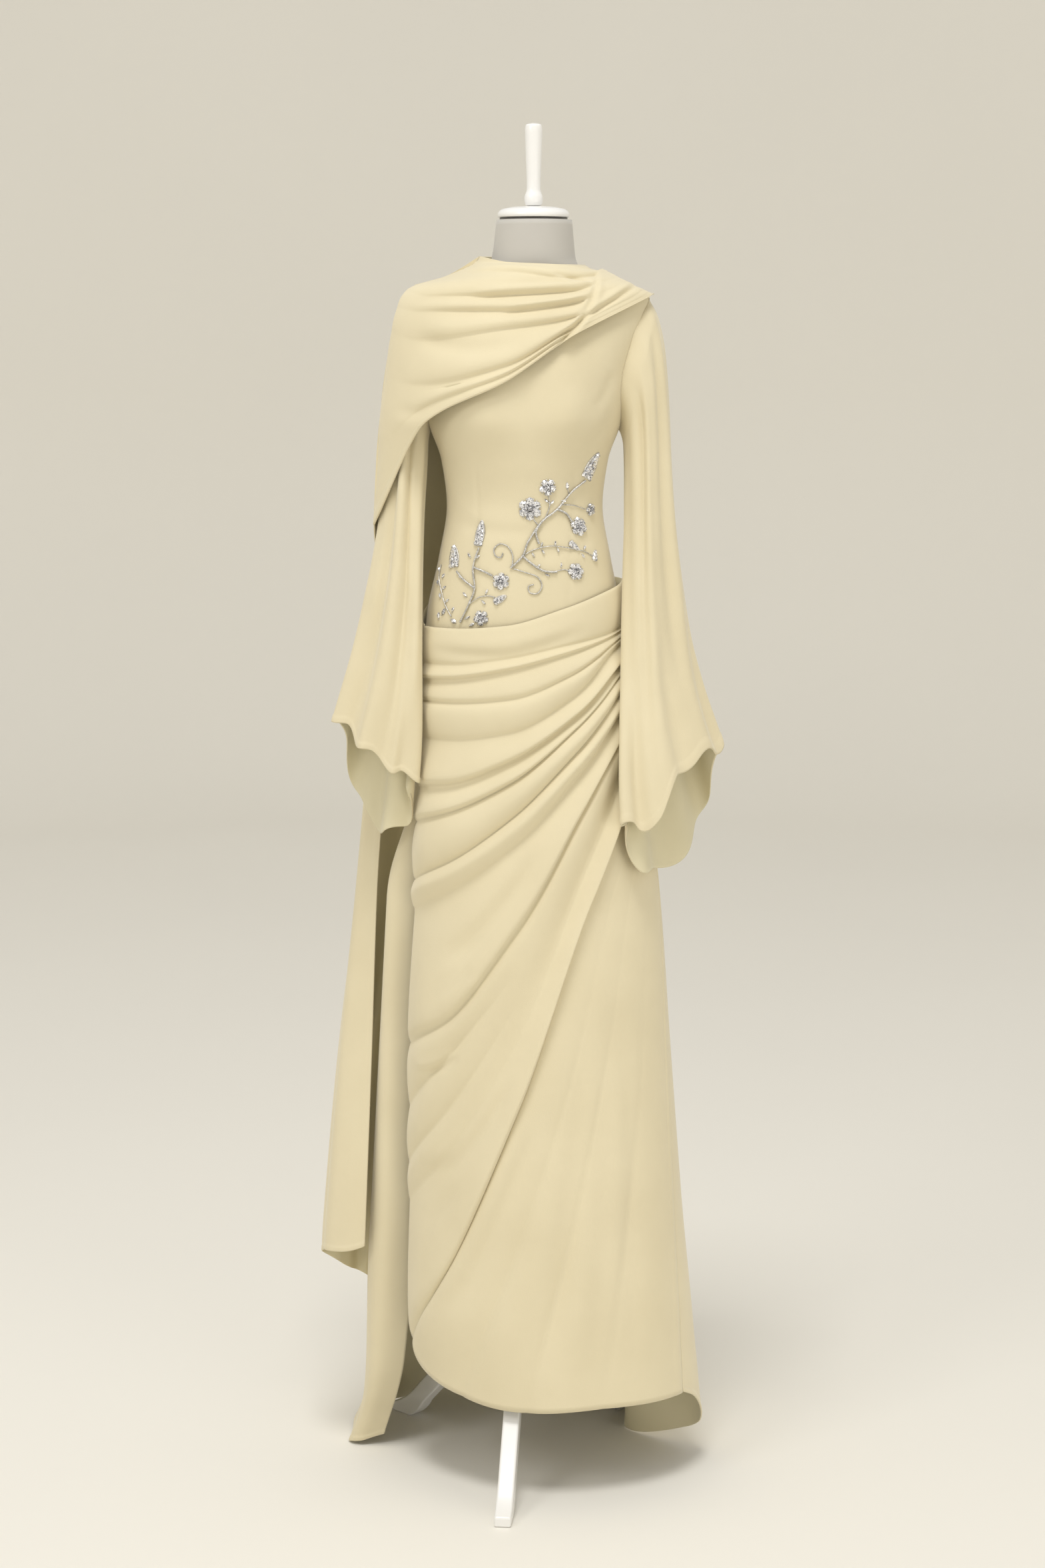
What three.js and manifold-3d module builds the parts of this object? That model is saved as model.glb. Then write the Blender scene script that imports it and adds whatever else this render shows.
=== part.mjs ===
// A full-length prom dress with bell sleeves and a draped shoulder cape, on a dress form stand.
// Millimetres, +Z up. The dress faces -Y. The floor is at z = 0.
import * as THREE from 'three';
import { mergeVertices } from 'three/addons/utils/BufferGeometryUtils.js';
import Module from 'manifold-3d';

const wasm = await Module();
wasm.setup();

// Driving dimensions
const CLOTH = 1.6;
const BODICE_EASE = 4;
const SEAM_ANGLE = 0.16;
const NECKLINE_Z = 1694;
const BODICE_HEM_Z = 1192;
const ARMHOLE_TOP_Z = 1650;
const ARMHOLE_FOOT_Z = 1472;
const WRAP_EDGE_ANGLE = -75;
const SIDE_SEAM_ANGLE = 89.84;
const HEM_CORNER_ANGLE = 60;
const HEM_CORNER_Z = 126;
const HIP_POINT_Z = 1085;
const FLOOR_CLEARANCE = 2.4;
const FORM_BASE_Z = 800;
const NECK_TOP_Z = 1754;
const NECK_CENTRE_X = 15;
const POLE_RADIUS = 14;
const HUB_RADIUS = 26;
const HUB_BOTTOM_Z = 150;
const HUB_TOP_Z = 225;
const LEG_REACH = 262;
const LEG_WIDTH = 23;
const LEG_AZIMUTHS = [6, 134, 218];
const PART_GAP = 0.4;
const ARMHOLE_GAP = 2.2;
const FORM_SHOULDER_DROP = 4;
const STEM_RADIUS = 2;
const TRIM_LIFT = 0.85;

const DEGREE = Math.PI / 180;

const clamp = (value) => Math.min(1, Math.max(0, value));
const mix = (from, to, share) => from + (to - from) * share;

function ease(value) {
  const t = clamp(value);
  return t * t * (3 - 2 * t);
}

// Smooth curve through keys and values that never overshoots them; flat past both ends.
function follow(keys, values, key) {
  const last = keys.length - 1;
  if (key <= keys[0]) return values[0];
  if (key >= keys[last]) return values[last];
  let i = 0;
  while (key > keys[i + 1]) i += 1;
  const slope = (j) => (values[j + 1] - values[j]) / (keys[j + 1] - keys[j]);
  const tangent = (j) => {
    if (j === 0) return slope(0);
    if (j === last) return slope(last - 1);
    const before = slope(j - 1);
    const after = slope(j);
    return before * after <= 0 ? 0 : (2 * before * after) / (before + after);
  };
  const span = keys[i + 1] - keys[i];
  const t = (key - keys[i]) / span;
  const u = 1 - t;
  const start = values[i] * (1 + 2 * t) * u * u;
  const end = values[i + 1] * t * t * (3 - 2 * t);
  return start + end + span * t * u * (tangent(i) * u - tangent(i + 1) * t);
}

// A table of rows with named columns. Each column becomes a smooth curve over the first one.
function table(columns, rows) {
  const sorted = [...rows].sort((p, q) => p[0] - q[0]);
  const keys = sorted.map((row) => row[0]);
  const curves = {};
  columns.forEach((name, index) => {
    const values = sorted.map((row) => row[index]);
    curves[name] = (key) => follow(keys, values, key);
  });
  return curves;
}

// Smooth plane curve through points at even steps of t, from 0 to 1.
function through(points, t) {
  const spans = points.length - 1;
  const at = clamp(t) * spans;
  const i = Math.min(spans - 1, Math.floor(at));
  const f = at - i;
  const pick = (j) => points[Math.min(spans, Math.max(0, j))];
  const blend = (k) => {
    const [a, b, c, d] = [pick(i - 1)[k], pick(i)[k], pick(i + 1)[k], pick(i + 2)[k]];
    return b + 0.5 * f * (c - a + f * (2 * a - 5 * b + 4 * c - d + f * (3 * (b - c) + d - a)));
  };
  return [blend(0), blend(1)];
}

// Dress form: half width, depth in front and depth behind the body's centre plane.
const FIGURE = table(['z', 'middle', 'half', 'front', 'back'], [
  [800, 3, 118, 78, 88],
  [860, 4, 132, 90, 98],
  [960, 5, 139, 96, 104],
  [1060, 5, 139, 97, 106],
  [1140, 3, 136, 95, 103],
  [1220, 2, 130, 92, 96],
  [1300, 3, 114, 85, 80],
  [1370, 3, 103, 79, 72],
  [1430, 3, 110, 88, 76],
  [1490, 3, 130, 99, 84],
  [1540, 4, 136, 100, 90],
  [1600, 6, 153, 86, 91],
  [1625, 7, 159, 74, 86],
  [1650, 8, 160, 62, 76],
  [1658, 9, 152, 58, 72],
  [1670, 10, 124, 54, 66],
  [1682, 12, 92, 51, 60],
  [1692, 14, 70, 50, 55],
  [1702, 15, 58, 50, 51],
  [1754, 16, 51, 48, 49],
]);
const BUST = { x: 66, z: 1492, wide: 38, tall: 42, deep: 13 };

// How far the front panel reaches round from the front, by height: the armhole cuts it away.
const ARMHOLE = table(['z', 'angle'], [
  [ARMHOLE_FOOT_Z, 90 - SEAM_ANGLE],
  [1490, 78],
  [1540, 68],
  [1600, 66],
  [1630, 73],
  [1643, 82],
  [ARMHOLE_TOP_Z, 90 - SEAM_ANGLE],
]);

// Skirt: the section that the front wrap and the back panel both lie on.
const SKIRT = table(['z', 'middle', 'half', 'front', 'back'], [
  [1268, 0, 138, 98, 98],
  [1208, 0, 140, 103, 104],
  [1100, 8, 150, 112, 118],
  [1000, 10, 158, 118, 126],
  [846, 18, 173, 128, 140],
  [600, 24, 186, 145, 175],
  [400, 30, 196, 155, 205],
  [200, 42, 204, 165, 240],
  [120, 49, 205, 170, 255],
  [60, 52, 208, 172, 282],
  [20, 54, 209, 173, 312],
  [0, 54, 209, 173, 335],
]);

// Front wrap: each row is one fold line, from its free end to the gathered point on the hip.
// Z1 to Z4 are its heights at even steps of the way. The fold lies between its line and the
// next one. Crest is where it stands highest, as a share of the way to the next line.
const WRAP_COLUMNS = [
  'fold', 'endAngle', 'endZ', 'z1', 'z2', 'z3', 'z4', 'hip', 'depth', 'hipDepth', 'crest',
];
const WRAP = table(WRAP_COLUMNS, [
  [0, -75, 1206, 1207, 1213, 1235, 1256, 1268, 3, 3, 0.5],
  [1, -75, 1157, 1159, 1169, 1186, 1200, 1212, 5, 5, 0.7],
  [2, -75, 1134, 1139, 1153, 1174, 1193, 1207, 5, 5, 0.7],
  [3, -75, 1103, 1105, 1113, 1144, 1182, 1201, 6, 6, 0.35],
  [4, -75, 1055, 1057, 1070, 1116, 1172, 1195, 7, 7, 0.78],
  [5, -75, 986, 996, 1031, 1090, 1150, 1178, 8, 8, 0.8],
  [6, -75, 935, 957, 1001, 1072, 1136, 1168, 9, 9, 0.5],
  [7, -75, 853, 889, 953, 1040, 1115, 1152, 9, 9, 0.5],
  [8, -75, 812, 849, 914, 1009, 1092, 1134, 9, 8, 0.8],
  [9, -75, 620, 668, 797, 956, 1066, 1117, 9, 6, 0.3],
  [10, -75, 530, 618, 745, 925, 1045, 1111, 7, 1, 0.5],
  [11, -75, 450, 545, 700, 900, 1030, 1106, 5, 1, 0.5],
  [12, -75, 396, 486, 652, 878, 1012, 1101, 9, 9, 0.72],
  [13, -75, 192, 318, 553, 830, 984, 1097, 7, 0.6, 0.35],
  [14, -40, 138, 331, 578, 848, 966, 1093, 6, 0.4, 0.4],
  [15, -12, 127, 350, 600, 848, 955, 1090, 5, 0.4, 0.5],
  [16, 18, 131, 340, 560, 798, 938, 1087, 4, 0.4, 0.5],
  [17, HEM_CORNER_ANGLE, HEM_CORNER_Z, 318, 510, 701, 893, HIP_POINT_Z, 0, 0, 0.5],
]);
const WRAP_FOLDS = 17;
// Towards the hip these folds run together into a broad one, steep above and soft below.
const BROAD_FOLD = { first: 9, last: 12, depth: 8, crest: 0.15 };

// Back panel and train: left side, then where its curled front edge bends and ends.
const TRAIN = table(['z', 'left', 'bendX', 'bendY', 'edgeX', 'edgeY'], [
  [1268, -138, -141, -6, -134, -25],
  [1100, -142, -146, -7, -137, -28],
  [1000, -150, -180, -12, -140, -22],
  [850, -172, -222, -18, -144, -15],
  [600, -200, -226, -26, -150, -12],
  [427, -215, -228, -32, -154, -10],
  [280, -225, -235, -32, -158, -10],
  [143, -229, -238, -20, -170, 0],
  [88, -232, -243, -4, -181, 14],
  [50, -240, -250, 12, -192, 28],
  [0, -258, -266, 26, -207, 42],
]);
// Hem height along the back panel, from the side seam round to the curled front edge.
const TRAIN_HEM = table(['along', 'z'], [
  [0, HEM_CORNER_Z + 1],
  [0.05, 108],
  [0.1, 74],
  [0.15, 30],
  [0.19, FLOOR_CLEARANCE],
  [0.86, FLOOR_CLEARANCE],
  [0.94, 7],
  [1, 16],
]);

// Sleeves, down from the armhole: seam side, outer side, and the ring's place and depth.
const SLEEVE_COLUMNS = ['along', 'innerX', 'innerZ', 'outerX', 'outerZ', 'y', 'tilt', 'front', 'back',
  'frontDrop', 'backDrop'];
const LEFT_SLEEVE = table(SLEEVE_COLUMNS, [
  [0, 136, 1472, 168, 1650, 0, 0, 45, 90, 0, 0],
  [0.1, 138, 1450, 182, 1630, 0, 0, 46, 94, 0, 0],
  [0.22, 139, 1412, 193, 1585, -1, 0, 46, 92, 0, 4],
  [0.36, 139, 1358, 200, 1512, -5, 4, 44, 90, -2, 10],
  [0.5, 138, 1290, 205, 1422, -13, 10, 42, 88, -4, 20],
  [0.62, 137, 1222, 211, 1345, -24, 18, 41, 88, -6, 32],
  [0.74, 136, 1142, 220, 1270, -38, 26, 40, 88, -8, 50],
  [0.84, 135, 1072, 231, 1190, -50, 32, 40, 90, -9, 70],
  [0.92, 135, 1014, 246, 1125, -60, 36, 41, 94, -10, 92],
  [1, 137, 948, 274, 1041, -68, 40, 42, 98, -10, 117],
]);
const RIGHT_SLEEVE = table(SLEEVE_COLUMNS, [
  [0, -128, 1472, -152, 1650, 0, 0, 36, 80, 0, 0],
  [0.1, -129, 1450, -166, 1630, 0, 0, 36, 82, 0, 0],
  [0.22, -131, 1412, -174, 1580, 0, 2, 35, 82, 0, 4],
  [0.36, -134, 1358, -180, 1508, -4, 8, 35, 80, -2, 10],
  [0.5, -136, 1290, -188, 1416, -10, 16, 36, 76, -4, 20],
  [0.62, -137, 1222, -198, 1332, -18, 22, 38, 66, -5, 34],
  [0.74, -138, 1150, -213, 1250, -26, 20, 40, 66, -6, 54],
  [0.86, -141, 1080, -228, 1172, -32, 17, 42, 64, -8, 82],
  [1, -148, 1001, -254, 1079, -36, 14, 44, 64, -10, 115],
]);
const SLEEVE_WAVES = 5;
// Long valleys down a sleeve: the angle that each runs at, its width in degrees and its depth.
const LEFT_VALLEYS = [[-13, 11, 7], [40, 12, 4], [150, 18, 5], [215, 18, 5]];
const RIGHT_VALLEYS = [[12, 11, 7], [-38, 14, 3], [160, 18, 5]];
// Where the left sleeve's front hem steps up, in degrees, and half the height of the step.
const HEM_STEP = { from: -16, to: 8, rise: 20 };

// Cape: the section that it hangs on, across the chest.
const CAPE = table(['z', 'left', 'right', 'front'], [
  [1706, -58, 88, 58],
  [1697, -64, 98, 60],
  [1686, -86, 107, 72],
  [1676, -114, 127, 79],
  [1668, -144, 150, 80],
  [1660, -158, 170, 84],
  [1650, -166, 181, 88],
  [1616, -177, 190, 98],
  [1553, -186, 196, 116],
  [1488, -195, 200, 122],
  [1404, -200, 202, 112],
  [1344, -205, 205, 104],
]);
// Cape front: each row is one fold line, from the left shoulder's pleats to the right side.
const CAPE_FOLD_COLUMNS = ['fold', 'startX', 'startZ', 'z60', 'z20', 'frontX', 'frontZ', 'edgeX',
  'edgeZ', 'depth'];
const CAPE_FOLDS = table(CAPE_FOLD_COLUMNS, [
  [0, 107, 1686, 1693, 1697, -48, 1703, -58, 1706, 4],
  [1, 120, 1681, 1676, 1684, -78, 1685, -100, 1681, 5],
  [2, 133, 1675, 1658, 1653, -125, 1652, -158, 1660, 6],
  [3, 145, 1669, 1641, 1632, -135, 1632, -170, 1638, 6],
  [4, 156, 1664, 1621, 1608, -140, 1594, -178, 1606, 7],
  [5, 166, 1660, 1606, 1561, -140, 1535, -188, 1545, 4],
  [6, 173, 1657, 1600, 1549, -138, 1502, -200, 1440, 2],
  [7, 179, 1655, 1594, 1540, -128, 1486, -205, 1342, 0],
]);
const CAPE_FOLD_COUNT = 7;
const CAPE_SIDE_X = -20;
const CAPE_CHEST_X = 60;
// Band laid over the shoulder pleats, right of this line.
const CAPE_BAND = { topX: 98, topZ: 1685, footX: 48, footZ: 1600, lift: 4, width: 8 };

// Cape back: a long panel from the right shoulder and the back neck down to the calf.
const CAPE_BACK_COLUMNS = ['z', 'endX', 'endY', 'rearX', 'rearY', 'sideX', 'sideY', 'edgeX', 'edgeY'];
const CAPE_BACK = table(CAPE_BACK_COLUMNS, [
  [1706, 8, 60, -30, 46, -52, 24, -58, 2.4],
  [1697, 5, 66, -36, 52, -59, 26, -64, 2.4],
  [1685, 2, 73, -55, 55, -82, 26, -88, 2.4],
  [1676, 0, 78, -72, 60, -106, 30, -114, 2.4],
  [1666, 0, 84, -90, 66, -136, 32, -150, 2.4],
  [1650, -2, 90, -100, 76, -152, 38, -166, 2.4],
  [1600, -5, 104, -108, 92, -166, 50, -179, 2.4],
  [1500, -20, 108, -112, 98, -178, 56, -194, 2.4],
  [1400, -32, 104, -118, 98, -186, 56, -200, 2.4],
  [1342, -42, 104, -124, 98, -192, 58, -205, 2.4],
  [1290, -56, 106, -134, 98, -198, 66, -202, 30],
  [1200, -84, 114, -150, 96, -200, 72, -186, 62],
  [1036, -112, 122, -172, 104, -218, 84, -192, 60],
  [826, -140, 134, -196, 108, -237, 66, -206, 24],
  [600, -184, 124, -226, 92, -262, 42, -214, 0],
  [400, -214, 104, -248, 76, -280, 30, -222, -14],
  [300, -222, 92, -256, 70, -287, 26, -226, -18],
  [230, -226, 88, -260, 66, -288, 24, -228, -18],
]);
const CAPE_HEM = table(['along', 'z'], [
  [0, 238],
  [0.33, 262],
  [0.66, 300],
  [0.85, 306],
  [1, 318],
]);

function bustRise(x, z) {
  const across = (Math.abs(x - FIGURE.middle(z)) - BUST.x) / BUST.wide;
  const along = (z - BUST.z) / BUST.tall;
  return BUST.deep * Math.exp(-across * across - along * along);
}

// Points on a level section; the angle runs from the front towards +X.
function figurePoint(z, angle, out) {
  const cos = Math.cos(angle * DEGREE);
  const x = FIGURE.middle(z) + (FIGURE.half(z) + out) * Math.sin(angle * DEGREE);
  const depth = (cos > 0 ? FIGURE.front(z) : FIGURE.back(z)) + out;
  const bust = cos > 0 ? bustRise(x, z) * cos : 0;
  return new THREE.Vector3(x, -depth * cos - bust, z);
}

function skirtPoint(z, angle) {
  const cos = Math.cos(angle * DEGREE);
  const x = SKIRT.middle(z) + SKIRT.half(z) * Math.sin(angle * DEGREE);
  const depth = cos > 0 ? SKIRT.front(z) : SKIRT.back(z);
  return new THREE.Vector3(x, -depth * cos, z);
}

function steps(count, from = 0, to = 1) {
  return Array.from({ length: count + 1 }, (_, i) => mix(from, to, i / count));
}

// Unit normal of surface(v, u), pointing away from the body.
function outward(surface, v, u) {
  const step = 1e-3;
  const along = surface(v, Math.min(1, u + step)).sub(surface(v, Math.max(0, u - step)));
  const down = surface(Math.min(1, v + step), u).sub(surface(Math.max(0, v - step), u));
  return down.cross(along).normalize();
}

// Closed body from a grid of outer points and a grid of inner points. Rows run down and columns
// run anticlockwise seen from above. A ring joins its last column to its first.
function shellGeometry(outer, inner, ring) {
  const positions = [];
  const triangle = (a, b, c) => [a, b, c].forEach((p) => positions.push(p.x, p.y, p.z));
  const quad = (a, b, c, d) => {
    triangle(a, b, c);
    triangle(c, b, d);
  };
  const rows = outer.length - 1;
  const columns = outer[0].length - 1;
  for (let r = 0; r < rows; r += 1) {
    for (let c = 0; c < columns; c += 1) {
      quad(outer[r][c], outer[r + 1][c], outer[r][c + 1], outer[r + 1][c + 1]);
      quad(inner[r][c], inner[r][c + 1], inner[r + 1][c], inner[r + 1][c + 1]);
    }
  }
  for (let c = 0; c < columns; c += 1) {
    quad(outer[0][c], outer[0][c + 1], inner[0][c], inner[0][c + 1]);
    quad(outer[rows][c], inner[rows][c], outer[rows][c + 1], inner[rows][c + 1]);
  }
  for (let r = 0; r < rows && !ring; r += 1) {
    quad(outer[r][0], inner[r][0], outer[r + 1][0], inner[r + 1][0]);
    quad(outer[r][columns], outer[r + 1][columns], inner[r][columns], inner[r + 1][columns]);
  }
  return geometryFrom(positions);
}

function geometryFrom(positions) {
  const geometry = new THREE.BufferGeometry();
  geometry.setAttribute('position', new THREE.Float32BufferAttribute(positions, 3));
  return mergeVertices(geometry, 1e-4);
}

// Cloth wall on surface(v, u), with folds of height(v, u) raised outwards.
function cloth({ surface, height = () => 0, rows, columns, ring = false }) {
  const grid = (drop) => rows.map((v) => columns.map((u) => {
    const normal = outward(surface, v, u);
    return surface(v, u).addScaledVector(normal, height(v, u) - drop);
  }));
  const outer = grid(0);
  const inner = grid(CLOTH);
  if (ring) {
    for (const rowsOfPoints of [outer, inner]) {
      rowsOfPoints.forEach((row) => { row[row.length - 1] = row[0]; });
    }
  }
  return shellGeometry(outer, inner, ring);
}

// Bodice panels: front or back, from the neckline to below the skirt's band.
function bodiceSurface(centre) {
  return (v, u) => {
    const z = mix(NECKLINE_Z, BODICE_HEM_Z, v);
    const reach = ARMHOLE.angle(z);
    return figurePoint(z, centre + mix(-reach, reach, u), BODICE_EASE);
  };
}

function bodicePanel(centre) {
  const levels = [NECKLINE_Z, 1687, 1679, 1670, 1660, ARMHOLE_TOP_Z, 1643, 1630, 1608, 1575, 1540,
    1512, 1490, ARMHOLE_FOOT_Z, 1440, 1405, 1370, 1330, 1290, 1240, BODICE_HEM_Z];
  return cloth({
    surface: bodiceSurface(centre),
    rows: levels.map((z) => (NECKLINE_Z - z) / (NECKLINE_Z - BODICE_HEM_Z)),
    columns: steps(16),
  });
}

// A fold line of the front wrap at fold number n; t runs from its free end to the hip.
function wrapLine(n, t) {
  const angle = mix(WRAP.endAngle(n), SIDE_SEAM_ANGLE, t);
  const heights = [WRAP.endZ(n), WRAP.z1(n), WRAP.z2(n), WRAP.z3(n), WRAP.z4(n), WRAP.hip(n)];
  return { angle, z: follow([0, 0.2, 0.4, 0.6, 0.8, 1], heights, t) };
}

function wrapSurface(v, u) {
  const { angle, z } = wrapLine(v * WRAP_FOLDS, u);
  return skirtPoint(z, angle);
}

// Fold profile from 0 to 1: it rises to its crest and drops into the crease below.
function foldProfile(s, crest) {
  return s < crest ? ease(s / crest) : ease((1 - s) / (1 - crest));
}

// Distance between two fold lines at the same share of their way to the hip.
function betweenLines(first, last, u) {
  const upper = wrapLine(first, u);
  const lower = wrapLine(last, u);
  return Math.hypot(upper.z - lower.z, (upper.angle - lower.angle) * 2.6);
}

function wrapHeight(v, u) {
  const n = Math.min(WRAP_FOLDS - 1, Math.floor(v * WRAP_FOLDS + 1e-6));
  const s = clamp(v * WRAP_FOLDS - n);
  const taper = mix(0.5, 1, ease(u / 0.12));
  const calm = n > BROAD_FOLD.last ? 0.12 : 0.45;
  const deep = mix(WRAP.depth(n), WRAP.hipDepth(n), ease((u - calm) / 0.4));
  const depth = Math.min(deep * taper, 0.34 * betweenLines(n, n + 1, u));
  const single = depth * foldProfile(s, WRAP.crest(n));
  const { first, last, crest } = BROAD_FOLD;
  const share = (v * WRAP_FOLDS - first) / (last - first);
  if (share <= 0 || share >= 1) return single;
  const broad = Math.min(BROAD_FOLD.depth, 0.34 * betweenLines(first, last, u));
  return mix(single, broad * foldProfile(share, crest), ease((u - 0.12) / 0.3));
}

function skirtFront() {
  const rows = [];
  for (let n = 0; n < WRAP_FOLDS; n += 1) {
    rows.push(n / WRAP_FOLDS);
    rows.push((n + WRAP.crest(n)) / WRAP_FOLDS);
  }
  rows.push(1);
  return cloth({ surface: wrapSurface, height: wrapHeight, rows, columns: steps(18) });
}

// Angle of the side seam at a height: on the hip it is at the side, lower it swings forward.
function sideSeamAngle(z) {
  const share = clamp((z - HEM_CORNER_Z) / (HIP_POINT_Z - HEM_CORNER_Z));
  return mix(HEM_CORNER_ANGLE, SIDE_SEAM_ANGLE, share);
}

const TRAIN_BODY_SHARE = 0.84;
const TRAIN_LAST_ANGLE = 260;
// The deep fold of the train's right side, which turns in under the hem.
const TRAIN_FOLD = { angle: 108, width: 10, top: 620, depth: 100 };

// Back panel below the waist at height z, u from the side seam to the curled front edge.
function trainPoint(z, u) {
  const start = sideSeamAngle(z) + 0.25;
  const bodyShare = Math.min(u, TRAIN_BODY_SHARE) / TRAIN_BODY_SHARE;
  const angle = mix(start, TRAIN_LAST_ANGLE, bodyShare);
  const sin = Math.sin(angle * DEGREE);
  const cos = Math.cos(angle * DEGREE);
  const middle = SKIRT.middle(z);
  const half = sin > 0 ? SKIRT.half(z) : middle - TRAIN.left(z);
  const depth = cos > 0 ? SKIRT.front(z) : SKIRT.back(z);
  const inward = (angle - TRAIN_FOLD.angle) / TRAIN_FOLD.width;
  const fold = TRAIN_FOLD.depth * ease((TRAIN_FOLD.top - z) / TRAIN_FOLD.top) ** 1.5;
  const pull = fold * Math.exp(-inward * inward);
  const body = new THREE.Vector3(middle + half * sin - pull, -depth * cos, z);
  if (u <= TRAIN_BODY_SHARE) return body;
  const t = (u - TRAIN_BODY_SHARE) / (1 - TRAIN_BODY_SHARE);
  const opened = ease((1020 - z) / 200);
  const seam = skirtPoint(z, WRAP_EDGE_ANGLE - 0.3);
  const side = skirtPoint(z, -88);
  const bendX = mix(middle + (side.x - middle) * 1.012, TRAIN.bendX(z), opened);
  const bendY = mix(side.y, TRAIN.bendY(z), opened);
  const endX = mix(seam.x, TRAIN.edgeX(z), opened);
  const endY = mix(seam.y, TRAIN.edgeY(z), opened);
  const curve = (from, bend, to) => mix(mix(from, bend, t), mix(bend, to, t), t);
  return new THREE.Vector3(curve(body.x, bendX, endX), curve(body.y, bendY, endY), z);
}

function trainSurface(v, u) {
  const top = mix(1268, 1208, ease((u - 0.5) / 0.5));
  return trainPoint(mix(top, TRAIN_HEM.z(u), v), u);
}

const TRAIN_WAVES = 6.5;

function trainHeight(v, u) {
  const reach = ease((u - 0.3) / 0.12) * ease((0.9 - u) / 0.1);
  return (1 + Math.cos(u * TRAIN_WAVES * 2 * Math.PI)) * 9 * reach * ease(v * 1.1 - 0.1) * v;
}

function skirtBack() {
  const rows = [0, 0.07, 0.16, 0.25, 0.36, 0.48, 0.6, 0.71, 0.81, 0.89, 0.95, 1];
  return cloth({ surface: trainSurface, height: trainHeight, rows, columns: steps(44) });
}

// Point of the armhole's edge; the angle goes round it, 90 at the shoulder and -90 below.
function armholePoint(side, angle) {
  const sin = Math.sin(angle * DEGREE);
  const middleZ = (ARMHOLE_TOP_Z + ARMHOLE_FOOT_Z) / 2;
  const z = middleZ + (middleZ - ARMHOLE_FOOT_Z) * sin;
  const reach = ARMHOLE.angle(z);
  const turn = Math.cos(angle * DEGREE) > 0 ? reach : 180 - reach;
  const point = figurePoint(z, side * turn, BODICE_EASE);
  return point.add(new THREE.Vector3(side * ARMHOLE_GAP, 0, 0));
}

// Angle from -180 to 180 degrees.
function centred(angle) {
  return ((angle + 180) % 360) - 180;
}

function hemStep(angle) {
  const turn = centred(angle);
  const share = ease((turn - HEM_STEP.from) / (HEM_STEP.to - HEM_STEP.from));
  return HEM_STEP.rise * (2 * share - 1) * ease((75 - Math.abs(turn)) / 45);
}

function sleeveSurface(side, sleeve) {
  return (v, u) => {
    const angle = 360 * u;
    const sin = Math.sin(angle * DEGREE);
    const cos = Math.cos(angle * DEGREE);
    const out = side * sin;
    const x = mix(sleeve.innerX(v), sleeve.outerX(v), 0.5 + 0.5 * out);
    const level = mix(sleeve.innerZ(v), sleeve.outerZ(v), 0.5 + 0.5 * out);
    const drop = cos > 0 ? -sleeve.frontDrop(v) : sleeve.backDrop(v);
    const depth = cos > 0 ? sleeve.front(v) : sleeve.back(v) * (0.5 + 0.5 * out) ** 1.5;
    const y = sleeve.y(v) + sleeve.tilt(v) * out - depth * cos;
    const step = side > 0 ? hemStep(angle) * ease((v - 0.65) / 0.35) : 0;
    const free = new THREE.Vector3(x, y, level - drop * Math.abs(cos) + step);
    const seat = armholePoint(side, side > 0 ? angle : -angle);
    return free.lerp(seat, 1 - ease(v / 0.1));
  };
}

function sleeveHeight(valleys) {
  return (v, u) => {
    const angle = 360 * u;
    const grow = ease((v - 0.08) / 0.9);
    const waves = 0.5 * Math.cos((SLEEVE_WAVES * angle + 40) * DEGREE);
    const carved = valleys.reduce((sum, [place, width, depth]) => {
      const away = centred(angle - place) / width;
      return sum + depth * Math.exp(-away * away);
    }, 0);
    return waves * 10 * grow - carved * ease(v * 4);
  };
}

function sleevePanel(side, sleeve, valleys) {
  return cloth({
    surface: sleeveSurface(side, sleeve),
    height: sleeveHeight(valleys),
    rows: [0, 0.05, 0.1, 0.2, 0.32, 0.45, 0.58, 0.7, 0.81, 0.91, 1],
    columns: steps(28),
    ring: true,
  });
}

// Depth of the cape in front of the body's centre plane.
function capeDepth(x, z) {
  const middle = (CAPE.left(z) + CAPE.right(z)) / 2;
  const half = (CAPE.right(z) - CAPE.left(z)) / 2;
  const q = clamp(Math.abs(x - middle) / half);
  return CAPE.front(z) * (1 - q ** 1.8) ** 0.7 + bustRise(x, z) * (1 - q);
}

function capeFrontSurface(v, u) {
  const n = v * CAPE_FOLD_COUNT;
  const row = CAPE_FOLDS;
  const x = mix(row.edgeX(n), row.startX(n), (1 - Math.cos(u * Math.PI)) / 2);
  const keys = [row.edgeX(n), row.frontX(n), CAPE_SIDE_X, CAPE_CHEST_X, row.startX(n)];
  const values = [row.edgeZ(n), row.frontZ(n), row.z20(n), row.z60(n), row.startZ(n)];
  const z = follow(keys, values, x);
  return new THREE.Vector3(x, -capeDepth(x, z), z);
}

function capeFrontHeight(v, u) {
  const n = Math.min(CAPE_FOLD_COUNT - 1, Math.floor(v * CAPE_FOLD_COUNT + 1e-6));
  const s = clamp(v * CAPE_FOLD_COUNT - n);
  const taper = mix(0.1, 1, ease((u - 0.12) / 0.3)) * mix(0.5, 1, ease((1 - u) / 0.15));
  const point = capeFrontSurface(v, u);
  const slope = (CAPE_BAND.topX - CAPE_BAND.footX) / (CAPE_BAND.topZ - CAPE_BAND.footZ);
  const lineX = CAPE_BAND.footX + (point.z - CAPE_BAND.footZ) * slope;
  const band = CAPE_BAND.lift * ease((point.x - lineX) / CAPE_BAND.width);
  return CAPE_FOLDS.depth(n) * taper * foldProfile(s, 0.78) + band * ease((1 - u) / 0.1);
}

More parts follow.
